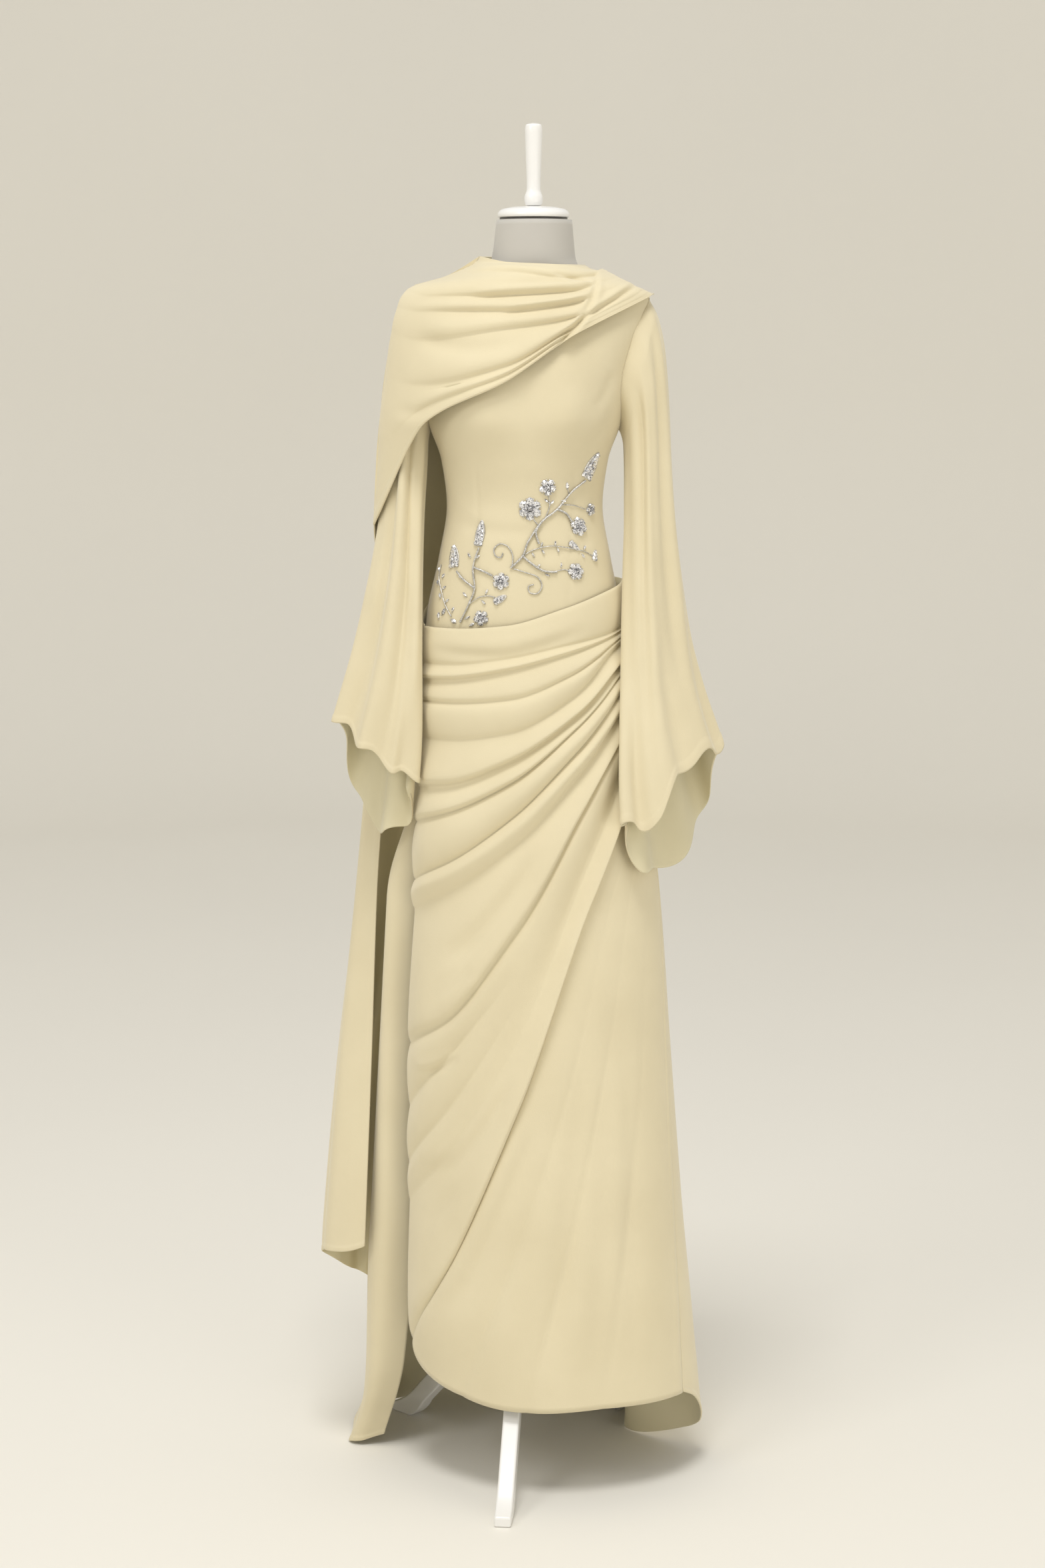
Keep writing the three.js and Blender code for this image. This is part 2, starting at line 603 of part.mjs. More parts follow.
function capeFront() {
  const rows = [];
  for (let n = 0; n < CAPE_FOLD_COUNT; n += 1) {
    rows.push(n / CAPE_FOLD_COUNT);
    rows.push((n + 0.78) / CAPE_FOLD_COUNT);
  }
  rows.push(1);
  return cloth({ surface: capeFrontSurface, height: capeFrontHeight, rows, columns: steps(20) });
}

function capeBackSurface(v, u) {
  const z = mix(1706, CAPE_HEM.z(u), v);
  const row = CAPE_BACK;
  const stations = [
    [row.endX(z), row.endY(z)],
    [row.rearX(z), row.rearY(z)],
    [row.sideX(z), row.sideY(z)],
    [row.edgeX(z), row.edgeY(z)],
  ];
  const [x, y] = through(stations, u);
  return new THREE.Vector3(x, y, z);
}

function capeBackHeight(v, u) {
  const free = ease((v - 0.35) / 0.5) * ease(u / 0.15) * ease((1 - u) / 0.15);
  return 8 * free * (0.5 - 0.5 * Math.cos(3 * 2 * Math.PI * u));
}

function capeBack() {
  const rows = [0, 0.008, 0.016, 0.024, 0.034, 0.05, 0.09, 0.15, 0.21, 0.26, 0.3, 0.36, 0.44, 0.56,
    0.7, 0.85, 1];
  return cloth({ surface: capeBackSurface, height: capeBackHeight, rows, columns: steps(13) });
}

// Dress form: a stack of sections closed at both ends.
function formTorso() {
  const levels = [NECK_TOP_Z, 1727, 1702, 1692, 1682, 1670, 1658, 1650, 1625, 1600, 1540, 1490, 1430,
    1370, 1300, 1220, 1140, 1050, 960, 880, FORM_BASE_Z];
  const sides = 24;
  const rings = levels.map((z) => steps(sides).map((u) => {
    const drop = FORM_SHOULDER_DROP * ease((z - 1600) / 50) * ease((1735 - z) / 30);
    return figurePoint(z, 360 * u, 0).add(new THREE.Vector3(0, 0, -drop));
  }));
  const positions = [];
  const triangle = (a, b, c) => [a, b, c].forEach((p) => positions.push(p.x, p.y, p.z));
  const centre = (z) => new THREE.Vector3(FIGURE.middle(z), 0, z);
  for (let c = 0; c < sides; c += 1) {
    const next = (c + 1) % sides;
    for (let r = 0; r < levels.length - 1; r += 1) {
      triangle(rings[r][c], rings[r + 1][c], rings[r][next]);
      triangle(rings[r][next], rings[r + 1][c], rings[r + 1][next]);
    }
    triangle(centre(NECK_TOP_Z), rings[0][c], rings[0][next]);
    triangle(centre(FORM_BASE_Z), rings.at(-1)[next], rings.at(-1)[c]);
  }
  return geometryFrom(positions);
}

// Turned piece about a vertical axis, from a profile of [radius, z].
function turned(profile, sides) {
  const points = profile.map(([radius, z]) => new THREE.Vector2(radius, z));
  return new THREE.LatheGeometry(points, sides).rotateX(Math.PI / 2);
}

function neckCap() {
  const base = NECK_TOP_Z + 3;
  return turned([[0, base], [49, base], [49, base + 6], [44, base + 11], [30, base + 14], [0, base + 15]],
    32);
}

function finial() {
  const base = NECK_TOP_Z + 18.4;
  return turned([[0, base], [10, base], [12.5, base + 5], [12.5, base + 13], [9.5, base + 20],
    [9.5, base + 32], [10.6, base + 60], [12, base + 100], [11, base + 108], [0, base + 110]], 20);
}

// Leg of the stand: a bent board in the plane of its radius, out from the hub to a flat foot.
function standLeg(azimuth) {
  const shape = new THREE.Shape();
  const start = HUB_RADIUS + PART_GAP;
  shape.moveTo(start, 165);
  shape.quadraticCurveTo(72, 164, 106, 122);
  shape.lineTo(196, 28);
  shape.quadraticCurveTo(208, 8, 226, 0);
  shape.lineTo(LEG_REACH, 0);
  shape.lineTo(LEG_REACH, 14);
  shape.quadraticCurveTo(236, 24, 218, 43);
  shape.lineTo(126, 142);
  shape.quadraticCurveTo(84, 200, start, 212);
  shape.closePath();
  const geometry = new THREE.ExtrudeGeometry(shape, {
    depth: LEG_WIDTH, bevelEnabled: false, curveSegments: 4,
  });
  geometry.translate(0, 0, -LEG_WIDTH / 2);
  geometry.rotateX(Math.PI / 2);
  return geometry.rotateZ((-90 - azimuth) * DEGREE);
}

// A place on the bodice front: (x, z) moved sideways and up over the cloth, then lifted off it.
function bodicePlace(x, z) {
  const half = FIGURE.half(z) + BODICE_EASE;
  const angle = Math.asin((x - FIGURE.middle(z)) / half) / DEGREE;
  return (right, up, lift) => {
    const at = (a, h) => figurePoint(h, a, BODICE_EASE);
    const speed = at(angle + 1, z + up).distanceTo(at(angle, z + up));
    const a = angle + right / speed;
    const here = at(a, z + up);
    const across = at(a + 0.2, z + up).sub(here);
    const above = at(a, z + up + 0.5).sub(here);
    return here.addScaledVector(across.cross(above).normalize(), lift);
  };
}

function bendOnto(geometry, place) {
  const position = geometry.attributes.position;
  const point = new THREE.Vector3();
  for (let i = 0; i < position.count; i += 1) {
    point.fromBufferAttribute(position, i);
    const bent = place(point.x, point.y, TRIM_LIFT + point.z);
    position.setXYZ(i, bent.x, bent.y, bent.z);
  }
  return geometry;
}

// Flower of rounded petals, laid over the bodice. Radius in the cloth's plane.
function flower(x, z, radius, petals, turn) {
  const shape = new THREE.Shape();
  const corners = petals * 4;
  for (let i = 0; i < corners; i += 1) {
    const angle = (i / corners) * 2 * Math.PI + turn * DEGREE;
    const lobe = Math.abs(Math.sin(0.5 * petals * (angle - turn * DEGREE)));
    const reach = radius * mix(0.55, 1, lobe);
    const point = [reach * Math.cos(angle), reach * Math.sin(angle)];
    if (i === 0) shape.moveTo(...point);
    else shape.lineTo(...point);
  }
  shape.closePath();
  const geometry = new THREE.ExtrudeGeometry(shape, { depth: 2.2, bevelEnabled: false });
  return bendOnto(geometry, bodicePlace(x, z));
}

// Leaf or bud: a pointed oval, length along its lean from upright.
function leaf(x, z, length, width, lean) {
  const shape = new THREE.Shape();
  shape.moveTo(0, -length / 2);
  shape.quadraticCurveTo(width, -length / 8, 0, length / 2);
  shape.quadraticCurveTo(-width, -length / 8, 0, -length / 2);
  const geometry = new THREE.ExtrudeGeometry(shape, {
    depth: 2.2, bevelEnabled: false, curveSegments: 5,
  });
  geometry.rotateZ(-lean * DEGREE);
  return bendOnto(geometry, bodicePlace(x, z));
}

// Cord laid on the bodice through (x, z) places, as a closed tube of six sides.
function cordGeometry(route) {
  const lift = TRIM_LIFT + STEM_RADIUS;
  const points = route.map(([x, z]) => bodicePlace(x, z)(0, 0, lift));
  const curve = new THREE.CatmullRomCurve3(points, false, 'centripetal');
  const section = new THREE.Shape();
  section.absarc(0, 0, STEM_RADIUS, 0, 2 * Math.PI, false);
  return new THREE.ExtrudeGeometry(section, {
    extrudePath: curve, steps: 3 * (route.length - 1), curveSegments: 3, bevelEnabled: false,
  });
}

function toSolid(geometry) {
  const bare = geometry.clone();
  bare.deleteAttribute('normal');
  bare.deleteAttribute('uv');
  const merged = mergeVertices(bare, 1e-4);
  return new wasm.Manifold(new wasm.Mesh({
    numProp: 3,
    vertProperties: new Float32Array(merged.attributes.position.array),
    triVerts: new Uint32Array(merged.index.array),
  }));
}

// Several crossing cords fused into one body.
function fusedCords(routes) {
  const joined = routes.map((route) => toSolid(cordGeometry(route))).reduce((a, b) => a.add(b));
  const { vertProperties, triVerts } = joined.getMesh();
  const geometry = new THREE.BufferGeometry();
  geometry.setAttribute('position', new THREE.BufferAttribute(vertProperties, 3));
  geometry.setIndex(new THREE.BufferAttribute(triVerts, 1));
  return geometry;
}

// Embroidered vine on the left of the bodice: cords, then flowers and leaves at (x, z).
const LOWER_VINE = [
  [[-84, 1215], [-72, 1240], [-64, 1262], [-66, 1290], [-58, 1316]],
  [[-64, 1262], [-78, 1272], [-88, 1283]],
  [[-66, 1290], [-50, 1284], [-40, 1279]],
];
const UPPER_VINE = [
  [[-16, 1290], [0, 1306], [8, 1326], [26, 1352], [46, 1368], [66, 1392], [84, 1406]],
  [[26, 1352], [18, 1338], [22, 1322]],
  [[46, 1368], [58, 1362], [66, 1350]],
  [[0, 1306], [12, 1296], [28, 1286], [46, 1284]],
];
const FLOWERS = [
  [10, 1369, 16, 6, 0],
  [34, 1398, 12, 5, 20],
  [76, 1344, 13, 6, 10],
  [92, 1366, 9, 5, 0],
  [72, 1284, 12, 6, 30],
  [-29, 1272, 12, 6, 0],
  [-56, 1222, 11, 5, 15],
];
const LEAVES = [
  [94, 1426, 40, 18, 28],
  [-93, 1303, 32, 16, -12],
  [-57, 1336, 36, 12, 5],
  [-30, 1248, 20, 9, 60],
  [70, 1318, 18, 9, 130],
  [98, 1304, 16, 8, 20],
];

const MATERIALS = {
  cloth: { color: 0xe9dcb4, roughness: 0.85, metalness: 0 },
  form: { color: 0xd8d5cc, roughness: 0.7, metalness: 0 },
  gloss: { color: 0xf1f0ec, roughness: 0.3, metalness: 0 },
  gasket: { color: 0x55504a, roughness: 0.6, metalness: 0 },
  trim: { color: 0xc9c6bd, roughness: 0.35, metalness: 0.6 },
};

const dress = new THREE.Group();

function add(name, geometry, finish) {
  const mesh = new THREE.Mesh(geometry, new THREE.MeshStandardMaterial(MATERIALS[finish]));
  mesh.name = name;
  dress.add(mesh);
  return mesh;
}

add('bodice_front', bodicePanel(0), 'cloth');
add('bodice_back', bodicePanel(180), 'cloth');
add('sleeve_left', sleevePanel(1, LEFT_SLEEVE, LEFT_VALLEYS), 'cloth');
add('sleeve_right', sleevePanel(-1, RIGHT_SLEEVE, RIGHT_VALLEYS), 'cloth');
add('skirt_front', skirtFront(), 'cloth');
add('skirt_back', skirtBack(), 'cloth');
add('cape_front', capeFront(), 'cloth');
add('cape_back', capeBack(), 'cloth');

add('vine_lower', fusedCords(LOWER_VINE), 'trim');
add('vine_upper', fusedCords(UPPER_VINE), 'trim');
FLOWERS.forEach((row, index) => add(`flower_${index + 1}`, flower(...row), 'trim'));
LEAVES.forEach((row, index) => add(`leaf_${index + 1}`, leaf(...row), 'trim'));

add('form_torso', formTorso(), 'form');
const gasket = turned([[0, 0.3], [46, 0.3], [46, 2.7], [0, 2.7]], 32);
add('neck_gasket', gasket, 'gasket').position.set(NECK_CENTRE_X, 0, NECK_TOP_Z);
add('neck_cap', neckCap(), 'gloss').position.x = NECK_CENTRE_X;
add('finial', finial(), 'gloss').position.x = NECK_CENTRE_X;

const pole = turned([[0, HUB_TOP_Z + PART_GAP], [POLE_RADIUS, HUB_TOP_Z + PART_GAP],
  [POLE_RADIUS, FORM_BASE_Z - PART_GAP], [0, FORM_BASE_Z - PART_GAP]], 24);
add('stand_pole', pole, 'gloss');
const hub = turned([[0, HUB_BOTTOM_Z], [HUB_RADIUS - 4, HUB_BOTTOM_Z], [HUB_RADIUS, HUB_BOTTOM_Z + 5],
  [HUB_RADIUS, HUB_TOP_Z - 8], [HUB_RADIUS - 7, HUB_TOP_Z], [0, HUB_TOP_Z]], 24);
add('stand_hub', hub, 'gloss');
LEG_AZIMUTHS.forEach((azimuth, index) => {
  add(`stand_leg_${index + 1}`, standLeg(azimuth), 'gloss');
});

// The origin is at the middle of the bounding box, on the floor.
const bounds = new THREE.Box3().setFromObject(dress);
const centre = bounds.getCenter(new THREE.Vector3());
dress.position.set(-centre.x, -centre.y, -bounds.min.z);

export default dress;
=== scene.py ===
"""Looks of the draped dress on its form: fine cloth, beaded vine, materials, light and camera."""

import math
from types import SimpleNamespace

import bmesh
import bpy
import numpy as np
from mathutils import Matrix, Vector


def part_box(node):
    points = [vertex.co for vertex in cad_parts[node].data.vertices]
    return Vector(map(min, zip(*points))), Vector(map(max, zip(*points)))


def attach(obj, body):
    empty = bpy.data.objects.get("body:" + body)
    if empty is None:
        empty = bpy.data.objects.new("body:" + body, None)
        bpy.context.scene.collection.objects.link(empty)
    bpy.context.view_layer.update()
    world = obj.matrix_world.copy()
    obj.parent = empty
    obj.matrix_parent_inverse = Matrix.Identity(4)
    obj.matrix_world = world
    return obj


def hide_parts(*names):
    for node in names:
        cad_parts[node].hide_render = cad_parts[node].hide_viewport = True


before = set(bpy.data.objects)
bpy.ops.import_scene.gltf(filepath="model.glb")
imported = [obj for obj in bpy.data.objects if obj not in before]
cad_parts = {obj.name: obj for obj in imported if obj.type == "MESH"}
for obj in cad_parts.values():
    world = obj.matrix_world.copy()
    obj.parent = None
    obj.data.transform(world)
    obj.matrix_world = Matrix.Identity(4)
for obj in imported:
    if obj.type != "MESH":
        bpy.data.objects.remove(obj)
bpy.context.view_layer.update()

# Sizes in millimetres, as in the solids: the dress faces -Y and the pole stands at x = 0, y = 0.
CLOTH = 1.6
BODICE_EASE = 4
SEAM_ANGLE = 0.16
NECKLINE_Z = 1694
BODICE_HEM_Z = 1192
ARMHOLE_TOP_Z = 1650
ARMHOLE_FOOT_Z = 1472
ARMHOLE_GAP = -0.4
WRAP_EDGE_ANGLE = -75
SIDE_SEAM_ANGLE = 89.84
HEM_CORNER_ANGLE = 60
HEM_CORNER_Z = 126
HIP_POINT_Z = 1085
FLOOR_CLEARANCE = 2.4
FORM_BASE_Z = 800
FORM_SHOULDER_DROP = 4
NECK_TOP_Z = 1754
NECK_CENTRE_X = 15
POLE_RADIUS = 14
HUB_RADIUS = 26
HUB_BOTTOM_Z = 150
HUB_TOP_Z = 225
LEG_REACH = 262
LEG_WIDTH = 23
LEG_AZIMUTHS = (6, 134, 218)
PART_GAP = 0.4
HEM_WIDTH = 7
HEM_RISE = 0.7

pole_low, pole_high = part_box("stand_pole")
ORIGIN = np.array([(pole_low.x + pole_high.x) / 2, (pole_low.y + pole_high.y) / 2, 0])


def mix(start, end, share):
    return start + (end - start) * share


def ease(value):
    t = np.clip(value, 0, 1)
    return t * t * (3 - 2 * t)


def sine(degrees):
    return np.sin(np.radians(degrees))


def cosine(degrees):
    return np.cos(np.radians(degrees))


def bell(value):
    return np.exp(-value * value)


def limited(before, after):
    """Slope at a key between two spans; level where they turn."""
    same = before * after > 0
    return np.where(same, 2 * before * after / np.where(same, before + after, 1), 0)


def follow(keys, values, key):
    """Smooth curve through keys and values that never overshoots them; level past both ends."""
    spans = [b - a for a, b in zip(keys, keys[1:])]
    slopes = [(b - a) / span for a, b, span in zip(values, values[1:], spans)]
    middle = [limited(a, b) for a, b in zip(slopes, slopes[1:])]
    tangents = [slopes[0], *middle, slopes[-1]]
    result = values[0] + np.zeros(np.shape(key))
    for i, span in enumerate(spans):
        t = np.clip((key - keys[i]) / span, 0, 1)
        rest = 1 - t
        start = values[i] * (1 + 2 * t) * rest * rest
        end = values[i + 1] * t * t * (3 - 2 * t)
        bend = span * t * rest * (tangents[i] * rest - tangents[i + 1] * t)
        result = np.where(key > keys[i], start + end + bend, result)
    return result


def table(columns, rows):
    """Each column becomes a smooth curve over the first one."""
    ordered = sorted(rows)
    keys = [row[0] for row in ordered]

    def curve(index):
        values = [row[index] for row in ordered]
        return lambda key: follow(keys, values, key)

    return SimpleNamespace(**{name: curve(index) for index, name in enumerate(columns.split())})


def through(points, t):
    """Smooth curve through points at even steps of t, from 0 to 1."""
    spans = len(points) - 1
    at = np.clip(t, 0, 1) * spans
    index = np.minimum(spans - 1, np.floor(at)).astype(int)
    f = at - index
    result = [0, 0]
    for i in range(spans):
        a, b, c, d = (points[min(spans, max(0, j))] for j in (i - 1, i, i + 1, i + 2))
        for k in (0, 1):
            cubic = 3 * (b[k] - c[k]) + d[k] - a[k]
            square = 2 * a[k] - 5 * b[k] + 4 * c[k] - d[k]
            value = b[k] + 0.5 * f * (c[k] - a[k] + f * (square + f * cubic))
            result[k] = result[k] + np.where(index == i, value, 0)
    return result


def point(x, y, z):
    return np.stack(np.broadcast_arrays(x, y, z), axis=-1).astype(float)


# Dress form: half width, depth in front and depth behind the body's centre plane.
FIGURE = table("z middle half front back", [
    (800, 3, 118, 78, 88),
    (860, 4, 132, 90, 98),
    (960, 5, 139, 96, 104),
    (1060, 5, 139, 97, 106),
    (1140, 3, 136, 95, 103),
    (1220, 2, 130, 92, 96),
    (1300, 3, 114, 85, 80),
    (1370, 3, 103, 79, 72),
    (1430, 3, 110, 88, 76),
    (1490, 3, 130, 99, 84),
    (1540, 4, 136, 100, 90),
    (1600, 6, 153, 86, 91),
    (1625, 7, 159, 74, 86),
    (1650, 8, 160, 62, 76),
    (1658, 9, 152, 58, 72),
    (1670, 10, 124, 54, 66),
    (1682, 12, 92, 51, 60),
    (1692, 14, 70, 50, 55),
    (1702, 15, 58, 50, 51),
    (1754, 16, 51, 48, 49),
])
BUST = SimpleNamespace(x=66, z=1492, wide=38, tall=42, deep=13)

# How far the front panel reaches round from the front, by height: the armhole cuts it away.
ARMHOLE = table("z angle", [
    (ARMHOLE_FOOT_Z, 90 - SEAM_ANGLE),
    (1490, 78),
    (1540, 68),
    (1600, 66),
    (1630, 73),
    (1643, 82),
    (ARMHOLE_TOP_Z, 90 - SEAM_ANGLE),
])

# Skirt: the section that the front wrap and the back panel both lie on.
SKIRT = table("z middle half front back", [
    (1268, 0, 138, 98, 98),
    (1208, 0, 140, 103, 104),
    (1100, 8, 150, 112, 118),
    (1000, 10, 158, 118, 126),
    (846, 18, 173, 128, 140),
    (600, 24, 186, 145, 175),
    (400, 30, 196, 155, 205),
    (200, 42, 204, 165, 240),
    (120, 49, 205, 170, 255),
    (60, 52, 208, 172, 282),
    (20, 54, 209, 173, 312),
    (0, 54, 209, 173, 335),
])

# Front wrap: each row is one fold line, from its free end to the gathered point on the hip.
WRAP = table("fold endAngle endZ z1 z2 z3 z4 hip depth hipDepth crest", [
    (0, -75, 1206, 1207, 1213, 1235, 1256, 1268, 3, 3, 0.5),
    (1, -75, 1157, 1159, 1169, 1186, 1200, 1212, 5, 5, 0.7),
    (2, -75, 1134, 1139, 1153, 1174, 1193, 1207, 5, 5, 0.7),
    (3, -75, 1103, 1105, 1113, 1144, 1182, 1201, 6, 6, 0.35),
    (4, -75, 1055, 1057, 1070, 1116, 1172, 1195, 7, 7, 0.78),
    (5, -75, 986, 996, 1031, 1090, 1150, 1178, 8, 8, 0.8),
    (6, -75, 935, 957, 1001, 1072, 1136, 1168, 9, 9, 0.5),
    (7, -75, 853, 889, 953, 1040, 1115, 1152, 9, 9, 0.5),
    (8, -75, 812, 849, 914, 1009, 1092, 1134, 9, 8, 0.8),
    (9, -75, 620, 668, 797, 956, 1066, 1117, 9, 6, 0.3),
    (10, -75, 530, 618, 745, 925, 1045, 1111, 7, 1, 0.5),
    (11, -75, 450, 545, 700, 900, 1030, 1106, 5, 1, 0.5),
    (12, -75, 396, 486, 652, 878, 1012, 1101, 9, 9, 0.72),
    (13, -75, 192, 318, 553, 830, 984, 1097, 7, 0.6, 0.35),
    (14, -40, 138, 331, 578, 848, 966, 1093, 6, 0.4, 0.4),
    (15, -12, 127, 350, 600, 848, 955, 1090, 5, 0.4, 0.5),
    (16, 18, 131, 340, 560, 798, 938, 1087, 4, 0.4, 0.5),
    (17, HEM_CORNER_ANGLE, HEM_CORNER_Z, 318, 510, 701, 893, HIP_POINT_Z, 0, 0, 0.5),
])
WRAP_FOLDS = 17
FOLD_GAIN = 1.45
# A fold is at most this share of the distance between its lines as deep.
FOLD_LIMIT = 0.42
# About how wide one degree is on the skirt.
SKIRT_DEGREE = 2.6
# Towards the hip these folds run together into a broad one, steep above and soft below.
BROAD_FOLD = SimpleNamespace(first=9, last=12, depth=9, crest=0.15, limit=0.34)

# Back panel and train: left side, then where its curled front edge bends and ends.
TRAIN = table("z left bendX bendY edgeX edgeY", [
    (1268, -138, -141, -6, -134, -25),
    (1100, -142, -146, -7, -137, -28),
    (1000, -150, -180, -12, -140, -22),
    (850, -172, -222, -18, -144, -15),
    (600, -200, -226, -26, -150, -12),
    (427, -215, -228, -32, -154, -10),
    (280, -225, -235, -32, -158, -10),
    (143, -229, -238, -20, -170, 0),
    (88, -232, -243, -4, -181, 14),
    (50, -240, -250, 12, -192, 28),
    (0, -258, -266, 26, -207, 42),
])
# Hem height along the back panel, from the side seam round to the curled front edge.
TRAIN_HEM = table("along z", [
    (0, HEM_CORNER_Z + 1),
    (0.05, 108),
    (0.1, 74),
    (0.15, 30),
    (0.19, FLOOR_CLEARANCE),
    (0.86, FLOOR_CLEARANCE),
    (0.94, 7),
    (1, 16),
])
TRAIN_BODY_SHARE = 0.84
TRAIN_LAST_ANGLE = 260
TRAIN_FOLD = SimpleNamespace(angle=108, width=10, top=620, depth=100)
TRAIN_WAVES = 6.5
# The curled edge leaves the wrap's edge below the first height, and is free of it at the second.
TRAIN_OPENING = (1020, 820)
PANEL_TOP_LEFT_Z = 1268
PANEL_TOP_RIGHT_Z = 1208

# Sleeves, down from the armhole: seam side, outer side, and the ring's place and depth.
SLEEVE_COLUMNS = "along innerX innerZ outerX outerZ y tilt front back frontDrop backDrop"
LEFT_SLEEVE = table(SLEEVE_COLUMNS, [
    (0, 136, 1472, 168, 1650, 0, 0, 45, 90, 0, 0),
    (0.1, 138, 1450, 182, 1630, 0, 0, 46, 94, 0, 0),
    (0.22, 139, 1412, 193, 1585, -1, 0, 46, 92, 0, 4),
    (0.36, 139, 1358, 200, 1512, -5, 4, 44, 90, -2, 10),
    (0.5, 138, 1290, 205, 1422, -13, 10, 42, 88, -4, 20),
    (0.62, 137, 1222, 211, 1345, -24, 18, 41, 88, -6, 32),
    (0.74, 136, 1142, 220, 1270, -38, 26, 40, 88, -8, 50),
    (0.84, 135, 1072, 231, 1190, -50, 32, 40, 90, -9, 70),
    (0.92, 135, 1014, 246, 1125, -60, 36, 41, 94, -10, 92),
    (1, 137, 948, 274, 1041, -68, 40, 42, 98, -10, 117),
])
RIGHT_SLEEVE = table(SLEEVE_COLUMNS, [
    (0, -128, 1472, -152, 1650, 0, 0, 36, 80, 0, 0),
    (0.1, -129, 1450, -166, 1630, 0, 0, 36, 82, 0, 0),
    (0.22, -131, 1412, -174, 1580, 0, 2, 35, 82, 0, 4),
    (0.36, -134, 1358, -180, 1508, -4, 8, 35, 80, -2, 10),
    (0.5, -136, 1290, -188, 1416, -10, 16, 36, 76, -4, 20),
    (0.62, -137, 1222, -198, 1332, -18, 22, 38, 66, -5, 34),
    (0.74, -138, 1150, -213, 1250, -26, 20, 40, 66, -6, 54),
    (0.86, -141, 1080, -228, 1172, -32, 17, 42, 64, -8, 82),
    (1, -148, 1001, -254, 1079, -36, 14, 44, 64, -10, 115),
])
SLEEVE_WAVES = 5
CUFF_SCALLOP = 6
# Long valleys down a sleeve: the angle that each runs at, its width in degrees and its depth.
LEFT_VALLEYS = [(-13, 11, 7), (40, 12, 4), (150, 18, 5), (215, 18, 5)]
RIGHT_VALLEYS = [(12, 11, 7), (-38, 14, 3), (160, 18, 5)]
VALLEY_GAIN = 1.3
# Where the left sleeve's front hem steps up, in degrees, and half the height of the step.
HEM_STEP = SimpleNamespace(start=-16, end=8, rise=20)

# Cape: the section that it hangs on, across the chest.
CAPE = table("z left right front", [
    (1706, -58, 88, 58),
    (1697, -64, 98, 60),
    (1686, -86, 107, 72),
    (1676, -114, 127, 79),
    (1668, -144, 150, 80),
    (1660, -158, 170, 84),
    (1650, -166, 181, 88),
    (1616, -177, 190, 98),
    (1553, -186, 196, 116),
    (1488, -195, 200, 122),
    (1404, -200, 202, 112),
    (1344, -205, 205, 104),
])
# Cape front: each row is one fold line, from the left shoulder's pleats to the right side.
CAPE_FOLDS = table("fold startX startZ z60 z20 frontX frontZ edgeX edgeZ depth", [
    (0, 107, 1686, 1693, 1697, -48, 1703, -58, 1706, 4),
    (1, 120, 1681, 1676, 1684, -78, 1685, -100, 1681, 5),
    (2, 133, 1675, 1658, 1653, -125, 1652, -158, 1660, 6),
    (3, 145, 1669, 1641, 1632, -135, 1632, -170, 1638, 6),
    (4, 156, 1664, 1621, 1608, -140, 1594, -178, 1606, 7),
    (5, 166, 1660, 1606, 1561, -140, 1535, -188, 1545, 4),
    (6, 173, 1657, 1600, 1549, -138, 1502, -200, 1440, 2),
    (7, 179, 1655, 1594, 1540, -128, 1486, -205, 1342, 0),
])
CAPE_FOLD_COUNT = 7
CAPE_SIDE_X = -20
CAPE_CHEST_X = 60
CAPE_BAND = SimpleNamespace(top_x=100, top_z=1685, foot_x=58, foot_z=1600, lift=4.5, width=5)

# Cape back: a long panel from the right shoulder and the back neck down to the calf.
CAPE_BACK = table("z endX endY rearX rearY sideX sideY edgeX edgeY", [
    (1706, 8, 60, -30, 46, -52, 24, -58, 2.4),
    (1697, 5, 66, -36, 52, -59, 26, -64, 2.4),
    (1685, 2, 73, -55, 55, -82, 26, -88, 2.4),
    (1676, 0, 78, -72, 60, -106, 30, -114, 2.4),
    (1666, 0, 84, -90, 66, -136, 32, -150, 2.4),
    (1650, -2, 90, -100, 76, -152, 38, -166, 2.4),
    (1600, -5, 104, -108, 92, -166, 50, -179, 2.4),
    (1500, -20, 108, -112, 98, -178, 56, -194, 2.4),
    (1400, -32, 104, -118, 98, -186, 56, -200, 2.4),
    (1342, -42, 104, -124, 98, -192, 58, -205, 2.4),
    (1290, -56, 106, -134, 98, -198, 66, -202, 30),
    (1200, -84, 114, -150, 96, -200, 72, -186, 62),
    (1036, -112, 122, -172, 104, -218, 84, -192, 60),
    (826, -140, 134, -196, 108, -237, 66, -206, 24),
    (600, -184, 124, -226, 92, -262, 42, -214, 0),
    (400, -214, 104, -248, 76, -280, 30, -222, -14),
    (300, -222, 92, -256, 70, -287, 26, -226, -18),
    (230, -226, 88, -260, 66, -288, 24, -228, -18),
])
CAPE_TOP_Z = 1706
CAPE_HEM = table("along z", [
    (0, 238),
    (0.33, 262),
    (0.66, 300),
    (0.85, 306),
    (1, 318),
])


def bust_rise(x, z):
    across = (np.abs(x - FIGURE.middle(z)) - BUST.x) / BUST.wide
    along = (z - BUST.z) / BUST.tall
    return BUST.deep * bell(across) * bell(along)


def figure_point(z, angle, out):
    """Point of a level section; the angle runs from the front towards +X."""
    cos = cosine(angle)
    x = FIGURE.middle(z) + (FIGURE.half(z) + out) * sine(angle)
    depth = np.where(cos > 0, FIGURE.front(z), FIGURE.back(z)) + out
    bust = np.where(cos > 0, bust_rise(x, z) * cos, 0)
    return point(x, -depth * cos - bust, z)


def skirt_point(z, angle):
    cos = cosine(angle)
    x = SKIRT.middle(z) + SKIRT.half(z) * sine(angle)
    depth = np.where(cos > 0, SKIRT.front(z), SKIRT.back(z))
    return point(x, -depth * cos, z)


